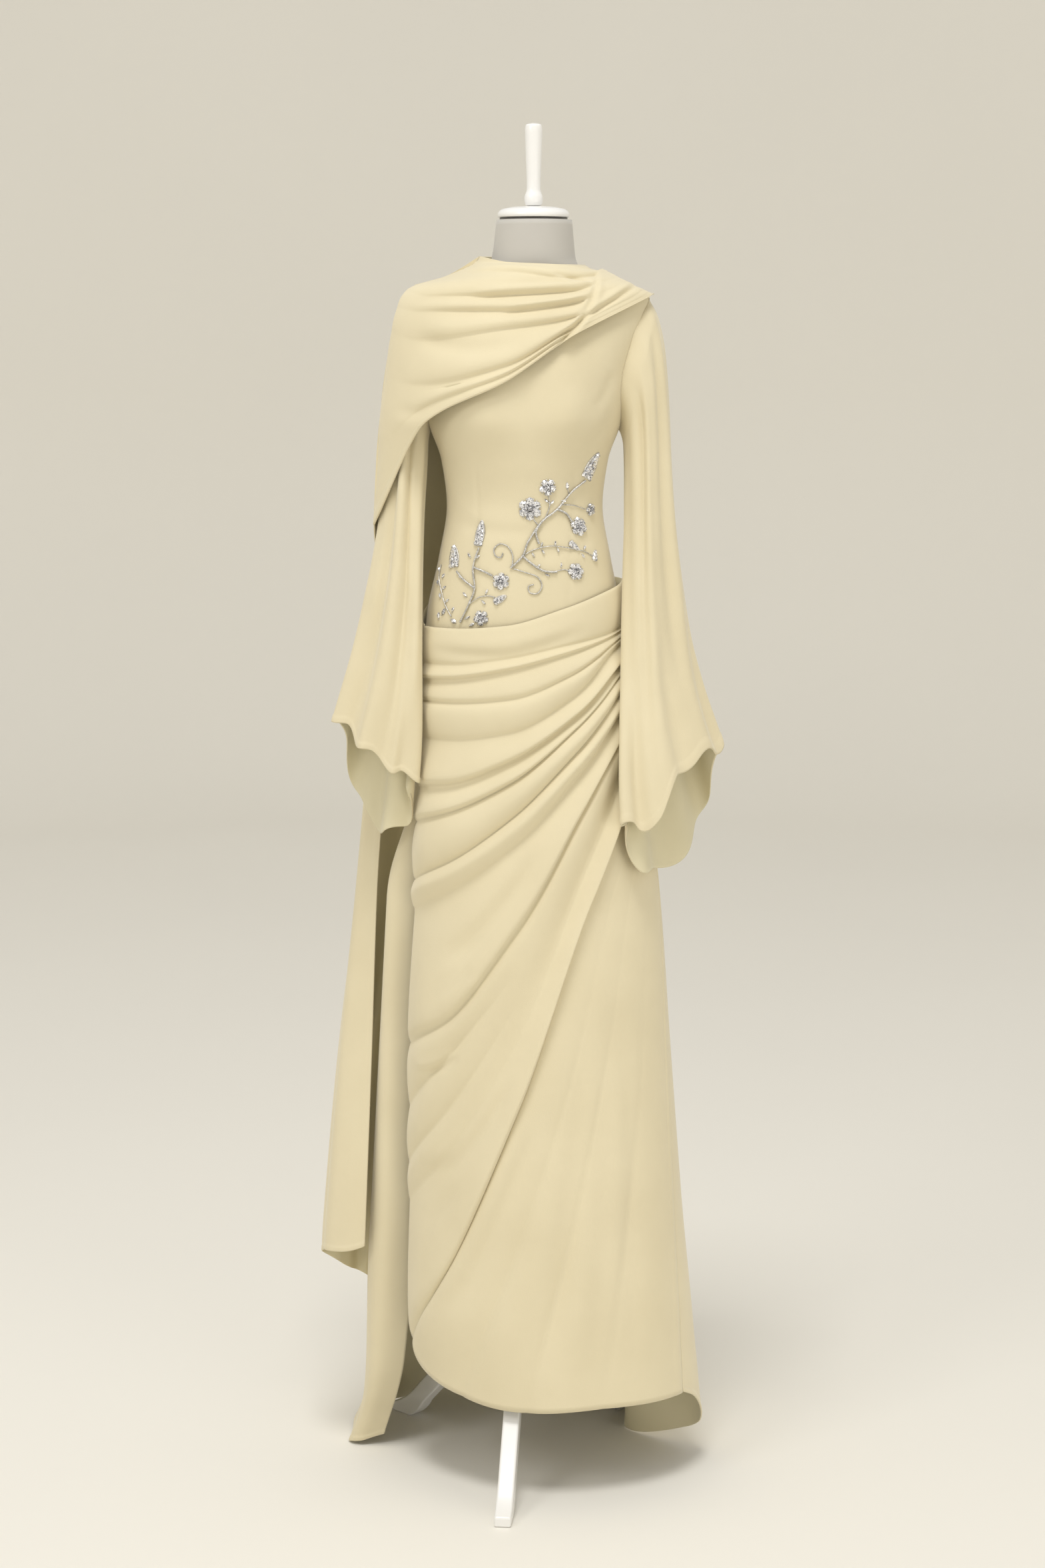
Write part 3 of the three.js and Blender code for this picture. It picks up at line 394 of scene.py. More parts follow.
def outward(surface, v, u):
    """Unit normals of surface(v, u), pointing away from the body."""
    step = 1e-3
    along = surface(v, np.minimum(1, u + step)) - surface(v, np.maximum(0, u - step))
    down = surface(np.minimum(1, v + step), u) - surface(np.maximum(0, v - step), u)
    normal = np.cross(down, along)
    return normal / np.maximum(np.linalg.norm(normal, axis=-1, keepdims=True), 1e-9)


def mesh_object(name, points, faces):
    """Mesh in the scene from points in metres."""
    mesh = bpy.data.meshes.new(name)
    mesh.from_pydata(points, [], faces)
    mesh.update()
    made = bpy.data.objects.new(name, mesh)
    bpy.context.scene.collection.objects.link(made)
    return made


def piece(name, points, faces, materials, node=None):
    """Piece from points in the solids' millimetres, which rides with the frame."""
    made = mesh_object(name, (np.asarray(points) * 0.001 + ORIGIN).tolist(), faces)
    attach(made, "root")
    for material in materials:
        made.data.materials.append(material)
    if node:
        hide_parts(node)
    return made


def smooth(made, on=True):
    made.data.polygons.foreach_set("use_smooth", [on] * len(made.data.polygons))
    return made


def grid_faces(rows, columns, start, flip):
    """Quads of a grid of points that is stored row by row from the index start."""
    r, c = np.meshgrid(np.arange(rows), np.arange(columns), indexing="ij")
    a = start + r * (columns + 1) + c
    b, d, e = a + columns + 1, a + 1, a + columns + 2
    order = (a, d, e, b) if flip else (a, b, e, d)
    return np.stack(order, axis=-1).reshape(-1, 4)


def stack_faces(rings, sides, flip=False):
    """Quads between rings of points that are stored one after the other."""
    faces = []
    for start in range(0, (rings - 1) * sides, sides):
        for i in range(sides):
            low, after = start + i, start + (i + 1) % sides
            quad = [low, after, after + sides, low + sides]
            faces.append([low] + quad[:0:-1] if flip else quad)
    return faces


def rim_faces(outer, inner):
    """Quads that join two equal lines of point numbers."""
    return np.stack((outer[:-1], outer[1:], inner[1:], inner[:-1]), axis=-1)


def cloth_faces(rows, columns, ring):
    """Quads of a cloth's outside and inside, and of the rims between them."""
    count = (rows + 1) * (columns + 1)
    numbers = np.arange(count).reshape(rows + 1, columns + 1)
    faces = [grid_faces(rows, columns, 0, False), grid_faces(rows, columns, count, True)]
    faces.append(rim_faces(numbers[0], numbers[0] + count))
    faces.append(rim_faces(numbers[-1], numbers[-1] + count)[:, ::-1])
    if not ring:
        faces.append(rim_faces(numbers[:, 0], numbers[:, 0] + count)[:, ::-1])
        faces.append(rim_faces(numbers[:, -1], numbers[:, -1] + count))
    return np.concatenate(faces).tolist()


def cloth(name, surface, height, rows, columns, node, ring=False, drop=600):
    """Thin closed cloth on surface(v, u), with folds of height(v, u) raised outwards.

    The lower edge has a turned-up hem; drop is about how long the cloth is down to it.
    """
    levels = np.linspace(0, 1 - 1.5 * HEM_WIDTH / drop, rows - 4)
    levels = np.append(levels, 1 - HEM_WIDTH / drop * np.array([1.15, 1, 0.6, 0.2, 0]))
    v, u = np.meshgrid(levels, np.linspace(0, 1, columns + 1), indexing="ij")
    base = surface(v, u)
    normal = outward(surface, v, u)
    rise = height(v, u)[..., None]
    hem = HEM_RISE * (v[..., None] > 1 - 1.1 * HEM_WIDTH / drop) * (1 - 0.5 * (v[..., None] > 0.9999))
    sides = np.stack((base + normal * (rise + hem), base + normal * (rise - CLOTH)))
    if ring:
        sides[:, :, -1] = sides[:, :, 0]
    faces = cloth_faces(rows, columns, ring)
    materials = (CLOTH_OUTSIDE, CLOTH_INSIDE_PAINTED_SHADE)
    made = piece(name, sides.reshape(-1, 3), faces, materials, node)
    if ring:
        weld(made)
    # The inner faces take material 1, the darker copy of the crêpe, which paints shade on them.
    inside = np.zeros(len(made.data.polygons), dtype=int)
    inside[rows * columns:2 * rows * columns] = 1
    made.data.polygons.foreach_set("material_index", inside)
    return smooth(made)


def weld(made):
    """Joins the two edges of a ring, which lie on each other."""
    work = bmesh.new()
    work.from_mesh(made.data)
    bmesh.ops.remove_doubles(work, verts=work.verts, dist=1e-6)
    work.to_mesh(made.data)
    work.free()


# Materials
def new_material(name, **settings):
    """Principled material; settings are its sockets' values."""
    material = bpy.data.materials.new(name)
    material.use_nodes = True
    shader = material.node_tree.nodes["Principled BSDF"]
    for socket, value in settings.items():
        shader.inputs[socket.replace("_", " ")].default_value = value
    return material, material.node_tree, shader


def noise(tree, scale, detail, coordinates):
    node = tree.nodes.new("ShaderNodeTexNoise")
    node.inputs["Scale"].default_value = scale
    node.inputs["Detail"].default_value = detail
    tree.links.new(coordinates, node.inputs["Vector"])
    return node.outputs["Fac"]


def ramp(tree, factor, stops):
    """Colour ramp from (position, colour) stops."""
    node = tree.nodes.new("ShaderNodeValToRGB")
    first, last = stops[0], stops[-1]
    node.color_ramp.elements[0].position, node.color_ramp.elements[0].color = first
    node.color_ramp.elements[1].position, node.color_ramp.elements[1].color = last
    for position, color in stops[1:-1]:
        node.color_ramp.elements.new(position).color = color
    tree.links.new(factor, node.inputs["Fac"])
    return node.outputs["Color"]


def bump(tree, shader, height, strength, distance):
    node = tree.nodes.new("ShaderNodeBump")
    node.inputs["Strength"].default_value = strength
    node.inputs["Distance"].default_value = distance
    tree.links.new(height, node.inputs["Height"])
    tree.links.new(node.outputs["Normal"], shader.inputs["Normal"])


def object_coordinates(tree):
    return tree.nodes.new("ShaderNodeTexCoord").outputs["Object"]


def toned(name, tone, stops, grain=None, **settings):
    """Material whose colour varies between stops, with the scale and detail in tone.

    Grain holds its bumps' scale and detail, then their strength and depth in metres.
    """
    material, tree, shader = new_material(name, **settings)
    place = object_coordinates(tree)
    tree.links.new(ramp(tree, noise(tree, *tone, place), stops), shader.inputs["Base Color"])
    if grain:
        scale, detail, strength, depth = grain
        bump(tree, shader, noise(tree, scale, detail, place), strength, depth)
    return material


def cloth_material(name, dark, light):
    """Matte crêpe: fine grain, slight unevenness of the dye and a soft sheen."""
    return toned(name, (7, 3), [(0.3, dark), (0.7, light)], (900, 2, 0.25, 0.0006),
                 Roughness=0.8, Sheen_Weight=0.3, Sheen_Roughness=0.45, Specular_IOR_Level=0.25)


CLOTH_OUTSIDE = cloth_material("butter_crepe", (0.71, 0.63, 0.435, 1), (0.76, 0.68, 0.48, 1))
# Darker copy of the crêpe for the cloth's inner faces: painted shade, for the inside that the real cloth
# leaves shaded and lit only through its layers.
CLOTH_INSIDE_PAINTED_SHADE = cloth_material("butter_crepe_inside_painted_shade", (0.69, 0.63, 0.43, 1), (0.74, 0.675, 0.47, 1))


def fold_profile(s, crest):
    """From 0 to 1: it rises to its crest, steeply if that is near, then rolls over into a crease."""
    climb = np.clip(s / crest, 0, 1)
    steep = ease((0.7 - crest) / 0.3)
    rise = mix(ease(climb), np.sqrt(1 - (1 - climb) ** 2), steep)
    fall = np.clip((s - crest) / (1 - crest), 0, 1)
    rolled = mix(ease(1 - fall), np.sqrt(1 - fall * fall), 0.8)
    return np.where(s < crest, rise, rolled)


def nearest(x, z, line):
    """Distance to a line in the front view, above it or to its left positive, and the way along it."""
    best = np.full(x.shape, 1e9)
    side = np.zeros(x.shape)
    share = np.zeros(x.shape)
    for i, (start, end) in enumerate(zip(line, line[1:])):
        dx, dz = end - start
        t = np.clip(((x - start[0]) * dx + (z - start[1]) * dz) / (dx * dx + dz * dz), 0, 1)
        gap_x = x - start[0] - t * dx
        gap_z = z - start[1] - t * dz
        gap = np.hypot(gap_x, gap_z)
        closer = gap < best
        best = np.where(closer, gap, best)
        side = np.where(closer, np.sign(dx * gap_z - dz * gap_x), side)
        share = np.where(closer, (i + t) / (len(line) - 1), share)
    return best * side, share


def creased(place, rows):
    """Creases: soft troughs, each with a low roll above or below it."""
    x, z = place[..., 0], place[..., 2]
    height = np.zeros(x.shape)
    for width, depth, roll, points in rows:
        line = np.stack(through(points, np.linspace(0, 1, 20)), axis=-1)
        away, share = nearest(x, z, line)
        fade = ease(share / 0.25) * ease((1 - share) / 0.25)
        beside = abs(roll) * bell((away - 1.8 * width * roll) / (1.4 * width))
        height += depth * fade * (0.6 * beside - bell(away / width))
    return height


# Bodice
def bodice_surface(centre):
    def surface(v, u):
        z = mix(NECKLINE_Z, BODICE_HEM_Z, v)
        reach = ARMHOLE.angle(z)
        return figure_point(z, centre + mix(-reach, reach, u), BODICE_EASE)

    return surface


def bodice_height(centre, rows):
    return lambda v, u: creased(bodice_surface(centre)(v, u), rows)


# Creases: width, depth, side of the roll, then points (x, z) from the left to the right.
FRONT_CREASES = [
    (9, 1.2, 1, [(-100, 1352), (-50, 1340), (0, 1338), (40, 1344)]),
    (8, 1.0, -1, [(20, 1306), (60, 1312), (100, 1330)]),
    (7, 1.6, 1, [(84, 1452), (104, 1468), (122, 1494)]),
    (6, 1.4, -1, [(96, 1502), (112, 1524), (122, 1552)]),
    (3, 0.8, 0, [(62, 1212), (66, 1330), (72, 1440)]),
    (3, 0.8, 0, [(-66, 1212), (-60, 1330), (-64, 1440)]),
]
BACK_CREASES = [
    (3.5, 0.9, 0, [(4, 1200), (6, 1450), (14, 1690)]),
    (3, 0.8, 0, [(-58, 1212), (-52, 1330), (-60, 1520)]),
    (3, 0.8, 0, [(66, 1212), (60, 1330), (72, 1520)]),
    (9, 1.4, 1, [(-90, 1322), (-30, 1312), (30, 1314), (90, 1326)]),
    (9, 1.2, -1, [(-84, 1286), (-20, 1280), (50, 1284)]),
]
WRAP_CREASES = [
    (2.2, 1.3, 0, [(-39, 1205), (14, 1222), (59, 1236), (94, 1251)]),
    (8, 2.4, 1, [(-134, 1177), (-74, 1173), (-19, 1175), (40, 1190), (92, 1210)]),
    (13, 5.5, 1, [(-110, 745), (-74, 776), (-39, 815), (-4, 861), (34, 922)]),
    (7, 3, -1, [(-120, 700), (-92, 722), (-60, 744)]),
    (5, 3, 1, [(-138, 588), (-112, 600), (-84, 622)]),
    (9, 4, 1, [(-120, 442), (-84, 480), (-46, 532), (-10, 600)]),
    (7, 2.6, -1, [(-136, 372), (-112, 398), (-84, 438)]),
    (11, 4, 1, [(-100, 250), (-62, 330), (-20, 430), (20, 540)]),
    (18, 4.5, 0, [(40, 170), (52, 330), (74, 520), (88, 680)]),
    (18, 4, 0, [(96, 160), (108, 330), (116, 520), (120, 700)]),
    (12, 2, 1, [(150, 180), (150, 330), (146, 500), (138, 700)]),
]
CAPE_CREASES = [
    (3, 3.6, 1, [(-74, 1649), (-19, 1653), (30, 1656), (92, 1660)]),
    (2.6, 2.8, 1, [(-30, 1629), (14, 1635), (59, 1641), (84, 1648)]),
    (2.6, 2.4, -1, [(40, 1681), (66, 1675), (97, 1667)]),
    (3.2, 3.6, -1, [(28, 1568), (54, 1592), (78, 1620), (94, 1654), (100, 1682)]),
    (3, 3.6, 1, [(44, 1594), (84, 1623), (124, 1648), (156, 1665)]),
    (12, 3, 1, [(-150, 1598), (-100, 1584), (-50, 1580), (10, 1592)]),
    (9, 2, -1, [(-176, 1500), (-140, 1498), (-100, 1512), (-60, 1526)]),
]


# Skirt
def wrap_line(n, t):
    """Angle and height along a fold line; t runs from its free end to the hip."""
    angle = mix(WRAP.endAngle(n), SIDE_SEAM_ANGLE, t)
    heights = [WRAP.endZ(n), WRAP.z1(n), WRAP.z2(n), WRAP.z3(n), WRAP.z4(n), WRAP.hip(n)]
    return angle, follow([0, 0.2, 0.4, 0.6, 0.8, 1], heights, t)


def wrap_surface(v, u):
    angle, z = wrap_line(v * WRAP_FOLDS, u)
    return skirt_point(z, angle)


def between_lines(first, last, u):
    """Distance between two fold lines at the same share of their way to the hip."""
    upper_angle, upper_z = wrap_line(first, u)
    lower_angle, lower_z = wrap_line(last, u)
    return np.hypot(upper_z - lower_z, (upper_angle - lower_angle) * SKIRT_DEGREE)


def wrap_height(v, u):
    n = np.minimum(WRAP_FOLDS - 1, np.floor(v * WRAP_FOLDS + 1e-6))
    s = np.clip(v * WRAP_FOLDS - n, 0, 1)
    taper = mix(0.5, 1, ease(u / 0.12))
    calm = np.where(n > BROAD_FOLD.last, 0.12, 0.45)
    deep = mix(WRAP.depth(n), WRAP.hipDepth(n), ease((u - calm) / 0.4))
    depth = np.minimum(FOLD_GAIN * deep * taper, FOLD_LIMIT * between_lines(n, n + 1, u))
    crest = WRAP.crest(n)
    single = depth * fold_profile(s, np.where(crest > 0.6, mix(crest, 1, 0.3), crest))
    share = (v * WRAP_FOLDS - BROAD_FOLD.first) / (BROAD_FOLD.last - BROAD_FOLD.first)
    together = ease((u - 0.12) / 0.3) * (share > 0) * (share < 1)
    room = BROAD_FOLD.limit * between_lines(BROAD_FOLD.first, BROAD_FOLD.last, u)
    whole = np.minimum(BROAD_FOLD.depth, room) * broad_profile(np.clip(share, 0, 1))
    return mix(single, whole, together) + creased(wrap_surface(v, u), WRAP_CREASES)


def broad_profile(share):
    """Rises at once and then sinks softly."""
    crest = BROAD_FOLD.crest
    rise = np.sqrt(1 - (1 - np.minimum(share / crest, 1)) ** 2)
    return np.where(share < crest, rise, ease((1 - share) / (1 - crest)))


def side_seam_angle(z):
    share = np.clip((z - HEM_CORNER_Z) / (HIP_POINT_Z - HEM_CORNER_Z), 0, 1)
    return mix(HEM_CORNER_ANGLE, SIDE_SEAM_ANGLE, share)


def train_point(z, u):
    """Back panel below the waist, u from the side seam to the curled front edge."""
    body_share = np.minimum(u, TRAIN_BODY_SHARE) / TRAIN_BODY_SHARE
    angle = mix(side_seam_angle(z) + 0.25, TRAIN_LAST_ANGLE, body_share)
    sin, cos = sine(angle), cosine(angle)
    middle = SKIRT.middle(z)
    half = np.where(sin > 0, SKIRT.half(z), middle - TRAIN.left(z))
    depth = np.where(cos > 0, SKIRT.front(z), SKIRT.back(z))
    inward = (angle - TRAIN_FOLD.angle) / TRAIN_FOLD.width
    pull = TRAIN_FOLD.depth * ease((TRAIN_FOLD.top - z) / TRAIN_FOLD.top) ** 1.5 * bell(inward)
    body = (middle + half * sin - pull, -depth * cos)
    t = np.clip((u - TRAIN_BODY_SHARE) / (1 - TRAIN_BODY_SHARE), 0, 1)
    opened = ease((TRAIN_OPENING[0] - z) / (TRAIN_OPENING[0] - TRAIN_OPENING[1]))
    seam = skirt_point(z, WRAP_EDGE_ANGLE - 0.3)
    side = skirt_point(z, -88)
    bend = (mix(middle + (side[..., 0] - middle) * 1.012, TRAIN.bendX(z), opened),
            mix(side[..., 1], TRAIN.bendY(z), opened))
    end = (mix(seam[..., 0], TRAIN.edgeX(z), opened), mix(seam[..., 1], TRAIN.edgeY(z), opened))
    x, y = (mix(mix(body[k], bend[k], t), mix(bend[k], end[k], t), t) for k in (0, 1))
    return point(x, y, z)


def train_surface(v, u):
    top = mix(PANEL_TOP_LEFT_Z, PANEL_TOP_RIGHT_Z, ease((u - 0.5) / 0.5))
    return train_point(mix(top, TRAIN_HEM.z(u), v), u)


def train_height(v, u):
    reach = ease((u - 0.3) / 0.12) * ease((0.9 - u) / 0.1)
    waves = (1 + np.cos(u * TRAIN_WAVES * 2 * np.pi)) * 9 * reach * ease(v * 1.1 - 0.1) * v
    finer = np.cos(u * 17 * 2 * np.pi + 2.4 * v) * np.cos(u * 5 * 2 * np.pi + 1)
    edge = ease((u - TRAIN_BODY_SHARE) / 0.05) * ease((0.99 - u) / 0.05)
    curled = 2 * np.cos((u - TRAIN_BODY_SHARE) * 40 + 1.5 * v) * edge
    return waves + (1.8 * finer * reach + curled) * ease(v / 0.4)


# Sleeves
def armhole_point(side, angle):
    """Point of the armhole's edge; the angle goes round it, 90 at the shoulder and -90 below."""
    middle_z = (ARMHOLE_TOP_Z + ARMHOLE_FOOT_Z) / 2
    z = middle_z + (middle_z - ARMHOLE_FOOT_Z) * sine(angle)
    reach = ARMHOLE.angle(z)
    turn = np.where(cosine(angle) > 0, reach, 180 - reach)
    return figure_point(z, side * turn, BODICE_EASE) + [side * ARMHOLE_GAP, 0, 0]


def centred(angle):
    """The same angle from -180 to 180 degrees."""
    return (angle + 180) % 360 - 180


def hem_step(angle):
    turn = centred(angle)
    share = ease((turn - HEM_STEP.start) / (HEM_STEP.end - HEM_STEP.start))
    return HEM_STEP.rise * (2 * share - 1) * ease((75 - np.abs(turn)) / 45)


def sleeve_surface(side, sleeve):
    def surface(v, u):
        angle = 360 * u
        cos = cosine(angle)
        out = side * sine(angle)
        x = mix(sleeve.innerX(v), sleeve.outerX(v), 0.5 + 0.5 * out)
        level = mix(sleeve.innerZ(v), sleeve.outerZ(v), 0.5 + 0.5 * out)
        drop = np.where(cos > 0, -sleeve.frontDrop(v), sleeve.backDrop(v))
        back = sleeve.back(v) * (0.5 + 0.5 * out) ** 1.5
        depth = np.where(cos > 0, sleeve.front(v), back)
        y = sleeve.y(v) + sleeve.tilt(v) * out - depth * cos
        step = hem_step(angle) * ease((v - 0.65) / 0.35) if side > 0 else 0
        scallop = CUFF_SCALLOP * cosine(7 * angle + 25) * ease((v - 0.82) / 0.18)
        free = point(x, y, level - drop * np.abs(cos) + step + scallop)
        seat = armhole_point(side, angle if side > 0 else -angle)
        return mix(free, seat, 1 - ease(v / 0.1)[..., None])

    return surface


def sleeve_height(valleys, start):
    """Long valleys, broad waves and finer gathers that start at the armhole."""
    def height(v, u):
        angle = 360 * u
        grow = ease((v - 0.08) / 0.9)
        waves = 5 * cosine(SLEEVE_WAVES * angle + 40) * grow
        gathers = 1.6 * cosine(9 * angle + start + 70 * v) * cosine(2 * angle + start)
        flutes = 6 * cosine(7 * angle + 2 * start + 60 * v) * ease((v - 0.7) / 0.3)
        carved = sum(depth * bell(centred(angle - place) / width) for place, width, depth in valleys)
        return waves + (gathers + flutes - VALLEY_GAIN * carved) * ease(v * 4)

    return height


# Cape
def cape_depth(x, z):
    """Depth of the cape in front of the body's centre plane."""
    middle = (CAPE.left(z) + CAPE.right(z)) / 2
    half = (CAPE.right(z) - CAPE.left(z)) / 2
    q = np.clip(np.abs(x - middle) / half, 0, 1)
    return CAPE.front(z) * (1 - q ** 1.8) ** 0.7 + bust_rise(x, z) * (1 - q)


def cape_front_surface(v, u):
    n = v * CAPE_FOLD_COUNT
    row = CAPE_FOLDS
    x = mix(row.edgeX(n), row.startX(n), (1 - np.cos(u * np.pi)) / 2)
    keys = [row.edgeX(n), row.frontX(n), CAPE_SIDE_X + 0 * n, CAPE_CHEST_X + 0 * n, row.startX(n)]
    values = [row.edgeZ(n), row.frontZ(n), row.z20(n), row.z60(n), row.startZ(n)]
    z = follow(keys, values, x)
    return point(x, -cape_depth(x, z), z)


def cape_front_height(v, u):
    n = np.minimum(CAPE_FOLD_COUNT - 1, np.floor(v * CAPE_FOLD_COUNT + 1e-6))
    s = np.clip(v * CAPE_FOLD_COUNT - n, 0, 1)
    taper = mix(0.1, 1, ease((u - 0.12) / 0.3)) * mix(0.5, 1, ease((1 - u) / 0.15))
    place = cape_front_surface(v, u)
    slope = (CAPE_BAND.top_x - CAPE_BAND.foot_x) / (CAPE_BAND.top_z - CAPE_BAND.foot_z)
    line_x = CAPE_BAND.foot_x + (place[..., 2] - CAPE_BAND.foot_z) * slope
    over = ease((place[..., 0] - line_x) / CAPE_BAND.width)
    band = CAPE_BAND.lift * over * ease((1 - u) / 0.1)
    folds = CAPE_FOLDS.depth(n) * taper * fold_profile(s, 0.7) * (1 - 0.92 * over)
    return folds + band + creased(place, CAPE_CREASES)


def cape_back_surface(v, u):
    z = mix(CAPE_TOP_Z, CAPE_HEM.z(u), v)
    row = CAPE_BACK
    stations = [(row.endX(z), row.endY(z)), (row.rearX(z), row.rearY(z)),
                (row.sideX(z), row.sideY(z)), (row.edgeX(z), row.edgeY(z))]
    x, y = through(stations, u)
    return point(x, y, z)


def cape_back_height(v, u):
    free = ease((v - 0.35) / 0.5) * ease(u / 0.15) * ease((1 - u) / 0.15)
    waves = 4 * free * (1 - np.cos(3 * 2 * np.pi * u))
    inside = ease((v - 0.08) / 0.3) * ease(u / 0.1) * ease((1 - u) / 0.1)
    return waves + 1.8 * np.cos(5 * 2 * np.pi * u + 1.8 * v) * inside


bodice_front = cloth("front_bodice", bodice_surface(0), bodice_height(0, FRONT_CREASES), 120, 110,
                     "bodice_front")
bodice_back = cloth("back_bodice", bodice_surface(180), bodice_height(180, BACK_CREASES), 120, 110,
                    "bodice_back")
sleeve_left = cloth("left_sleeve", sleeve_surface(1, LEFT_SLEEVE), sleeve_height(LEFT_VALLEYS, 20),
                    130, 160, "sleeve_left", ring=True)
sleeve_right = cloth("right_sleeve", sleeve_surface(-1, RIGHT_SLEEVE), sleeve_height(RIGHT_VALLEYS, 75),
                     130, 160, "sleeve_right", ring=True)
skirt_front = cloth("front_wrap", wrap_surface, wrap_height, 276, 130, "skirt_front", drop=900)
skirt_back = cloth("back_panel", train_surface, train_height, 110, 300, "skirt_back", drop=1200)
cape_front = cloth("front_cape", cape_front_surface, cape_front_height, 116, 120, "cape_front", drop=300)
cape_back = cloth("back_cape", cape_back_surface, cape_back_height, 150, 90, "cape_back", drop=1400)


# Vine of silver cord, crystals and beads
def silver_material():
    stops = [(0.3, (0.42, 0.41, 0.39, 1)), (0.7, (0.82, 0.81, 0.79, 1))]
    return toned("silver_thread", (420, 2), stops, (1500, 1, 0.4, 0.0004), Metallic=0.8, Roughness=0.38)


def crystal_painted_glints_material():
    """Cut stones: small cells of dark, grey and white in the colour, which are painted glints and painted
    reflections of the facets.
    """
    material, tree, shader = new_material("crystal", Metallic=0.55, Roughness=0.1)
    painted_glint_cells = tree.nodes.new("ShaderNodeTexVoronoi")
    painted_glint_cells.inputs["Scale"].default_value = 620
    tree.links.new(object_coordinates(tree), painted_glint_cells.inputs["Vector"])
    # Painted reflections: dark, grey and white cells that stand in for the light that the facets send
    # about.
    stops = [(0.1, (0.16, 0.16, 0.18, 1)), (0.38, (0.55, 0.55, 0.57, 1)), (0.6, (0.98, 0.98, 1, 1))]
    tree.links.new(ramp(tree, painted_glint_cells.outputs["Color"], stops), shader.inputs["Base Color"])
    return material


SILVER = silver_material()
CRYSTAL_PAINTED_GLINTS = crystal_painted_glints_material()
STONE_SIDES = 8
CORD_SIDES = 6


def polar(reach, angle):
    return reach * cosine(angle), reach * sine(angle)


def leaned(right, up, lean):
    """Place beside an upright axis once that axis leans to the right."""
    return right * cosine(lean) + up * sine(lean), up * cosine(lean) - right * sine(lean)


def bodice_place(x, z):
    """Turns (right, up, lift) beside places on the bodice front into points."""
    angle = np.degrees(np.arcsin((x - FIGURE.middle(z)) / (FIGURE.half(z) + BODICE_EASE)))

    def place(right, up, lift):
        height = z + np.asarray(up, float)
        ahead = figure_point(height, angle + 1, BODICE_EASE)
        speed = np.linalg.norm(ahead - figure_point(height, angle, BODICE_EASE), axis=-1)
        turn = angle + right / speed
        here = figure_point(height, turn, BODICE_EASE)
        across = figure_point(height, turn + 0.2, BODICE_EASE) - here
        above = figure_point(height + 0.5, turn, BODICE_EASE) - here
        normal = np.cross(across, above)
        normal /= np.linalg.norm(normal, axis=-1, keepdims=True)
        return here + normal * np.asarray(lift, float)[..., None]

    return place


class Beadwork:
    """Gathers small forms into one object; each form has the number of its material."""

    def __init__(self):
        self.points = []
        self.faces = []
        self.finish = []

    def add(self, points, faces, finish):
        start = len(self.points)
        self.points += [tuple(p) for p in points]
        self.faces += [[i + start for i in face] for face in faces]
        self.finish += [finish] * len(faces)

    def ringed(self, rings, finish):
        """Rings of points stacked outwards, closed by a flat face on top."""
        sides = len(rings[0])
        top = list(range((len(rings) - 1) * sides, len(rings) * sides))
        self.add(np.concatenate(rings), [top] + stack_faces(len(rings), sides), finish)

    def shaped(self, place, at, size, turn, steps, finish, pear=0.0):
        """Stack of oval rings at (right, up), sized (width, length, height), turned from upright."""
        around = np.arange(STONE_SIDES) * 360 / STONE_SIDES
        rings = []
        for scale, rise in steps:
            wide = cosine(around) * (1 - pear * sine(around)) * size[0] / 2 * scale
            long = sine(around) * size[1] / 2 * scale
            right, up = leaned(wide, long, turn)
            rings.append(place(at[0] + right, at[1] + up, np.full(STONE_SIDES, rise * size[2])))
        self.ringed(rings, finish)

    def stone(self, place, at, size, turn=0, pear=0.25):
        self.shaped(place, at, size, turn, [(0.9, 0.05), (1, 0.5), (0.52, 1)], 1, pear)

    def bead(self, place, at, size):
        dome = [(0.7, 0), (1, 0.35), (0.9, 0.68), (0.45, 1)]
        self.shaped(place, at, (size, size, size * 0.9), 0, dome, 0)

    def cord(self, route, radius, pitch=4.5):
        """Two strands twisted about a line through (x, z) places."""
        spans = len(route) - 1
        t = np.linspace(0, 1, spans * 14 + 1)
        x, z = through(route, t)
        place = bodice_place(x, z)
        middle = place(0, 0, np.full(t.shape, radius + 0.3))
        normal = place(0, 0, np.full(t.shape, radius + 1.3)) - middle
        along = np.gradient(middle, axis=0)
        length = np.concatenate(([0], np.cumsum(np.linalg.norm(np.diff(middle, axis=0), axis=1))))
        along /= np.linalg.norm(along, axis=1, keepdims=True)
        side = np.cross(normal, along)
        for strand in (0, 180):
            turn = (length / pitch * 360 + strand)[:, None]
            centre = middle + (side * cosine(turn) + normal * sine(turn)) * radius * 0.46
            around = np.arange(CORD_SIDES) * 360 / CORD_SIDES
            rings = [centre + (side * cosine(a) + normal * sine(a)) * radius * 0.56 for a in around]
            points = np.stack(rings, axis=1).reshape(-1, 3)
            numbers = list(range(len(points)))
            faces = stack_faces(len(t), CORD_SIDES, flip=True)
            faces += [numbers[:CORD_SIDES], numbers[-CORD_SIDES:][::-1]]
            self.add(points, faces, 0)

    def finished(self, name, node=None, rounded=False):
        made = piece(name, self.points, self.faces, (SILVER, CRYSTAL_PAINTED_GLINTS), node)
        made.data.polygons.foreach_set("material_index", self.finish)
        smooth(made, rounded)


def backing(work, place, right, up):
    """Thin embroidered ground under the stones, with its edge through (right, up)."""
    steps = [(1, 0), (1, 1), (0.9, 1.4)]
    work.ringed([place(right * k, up * k, np.full(len(right), lift)) for k, lift in steps], 0)


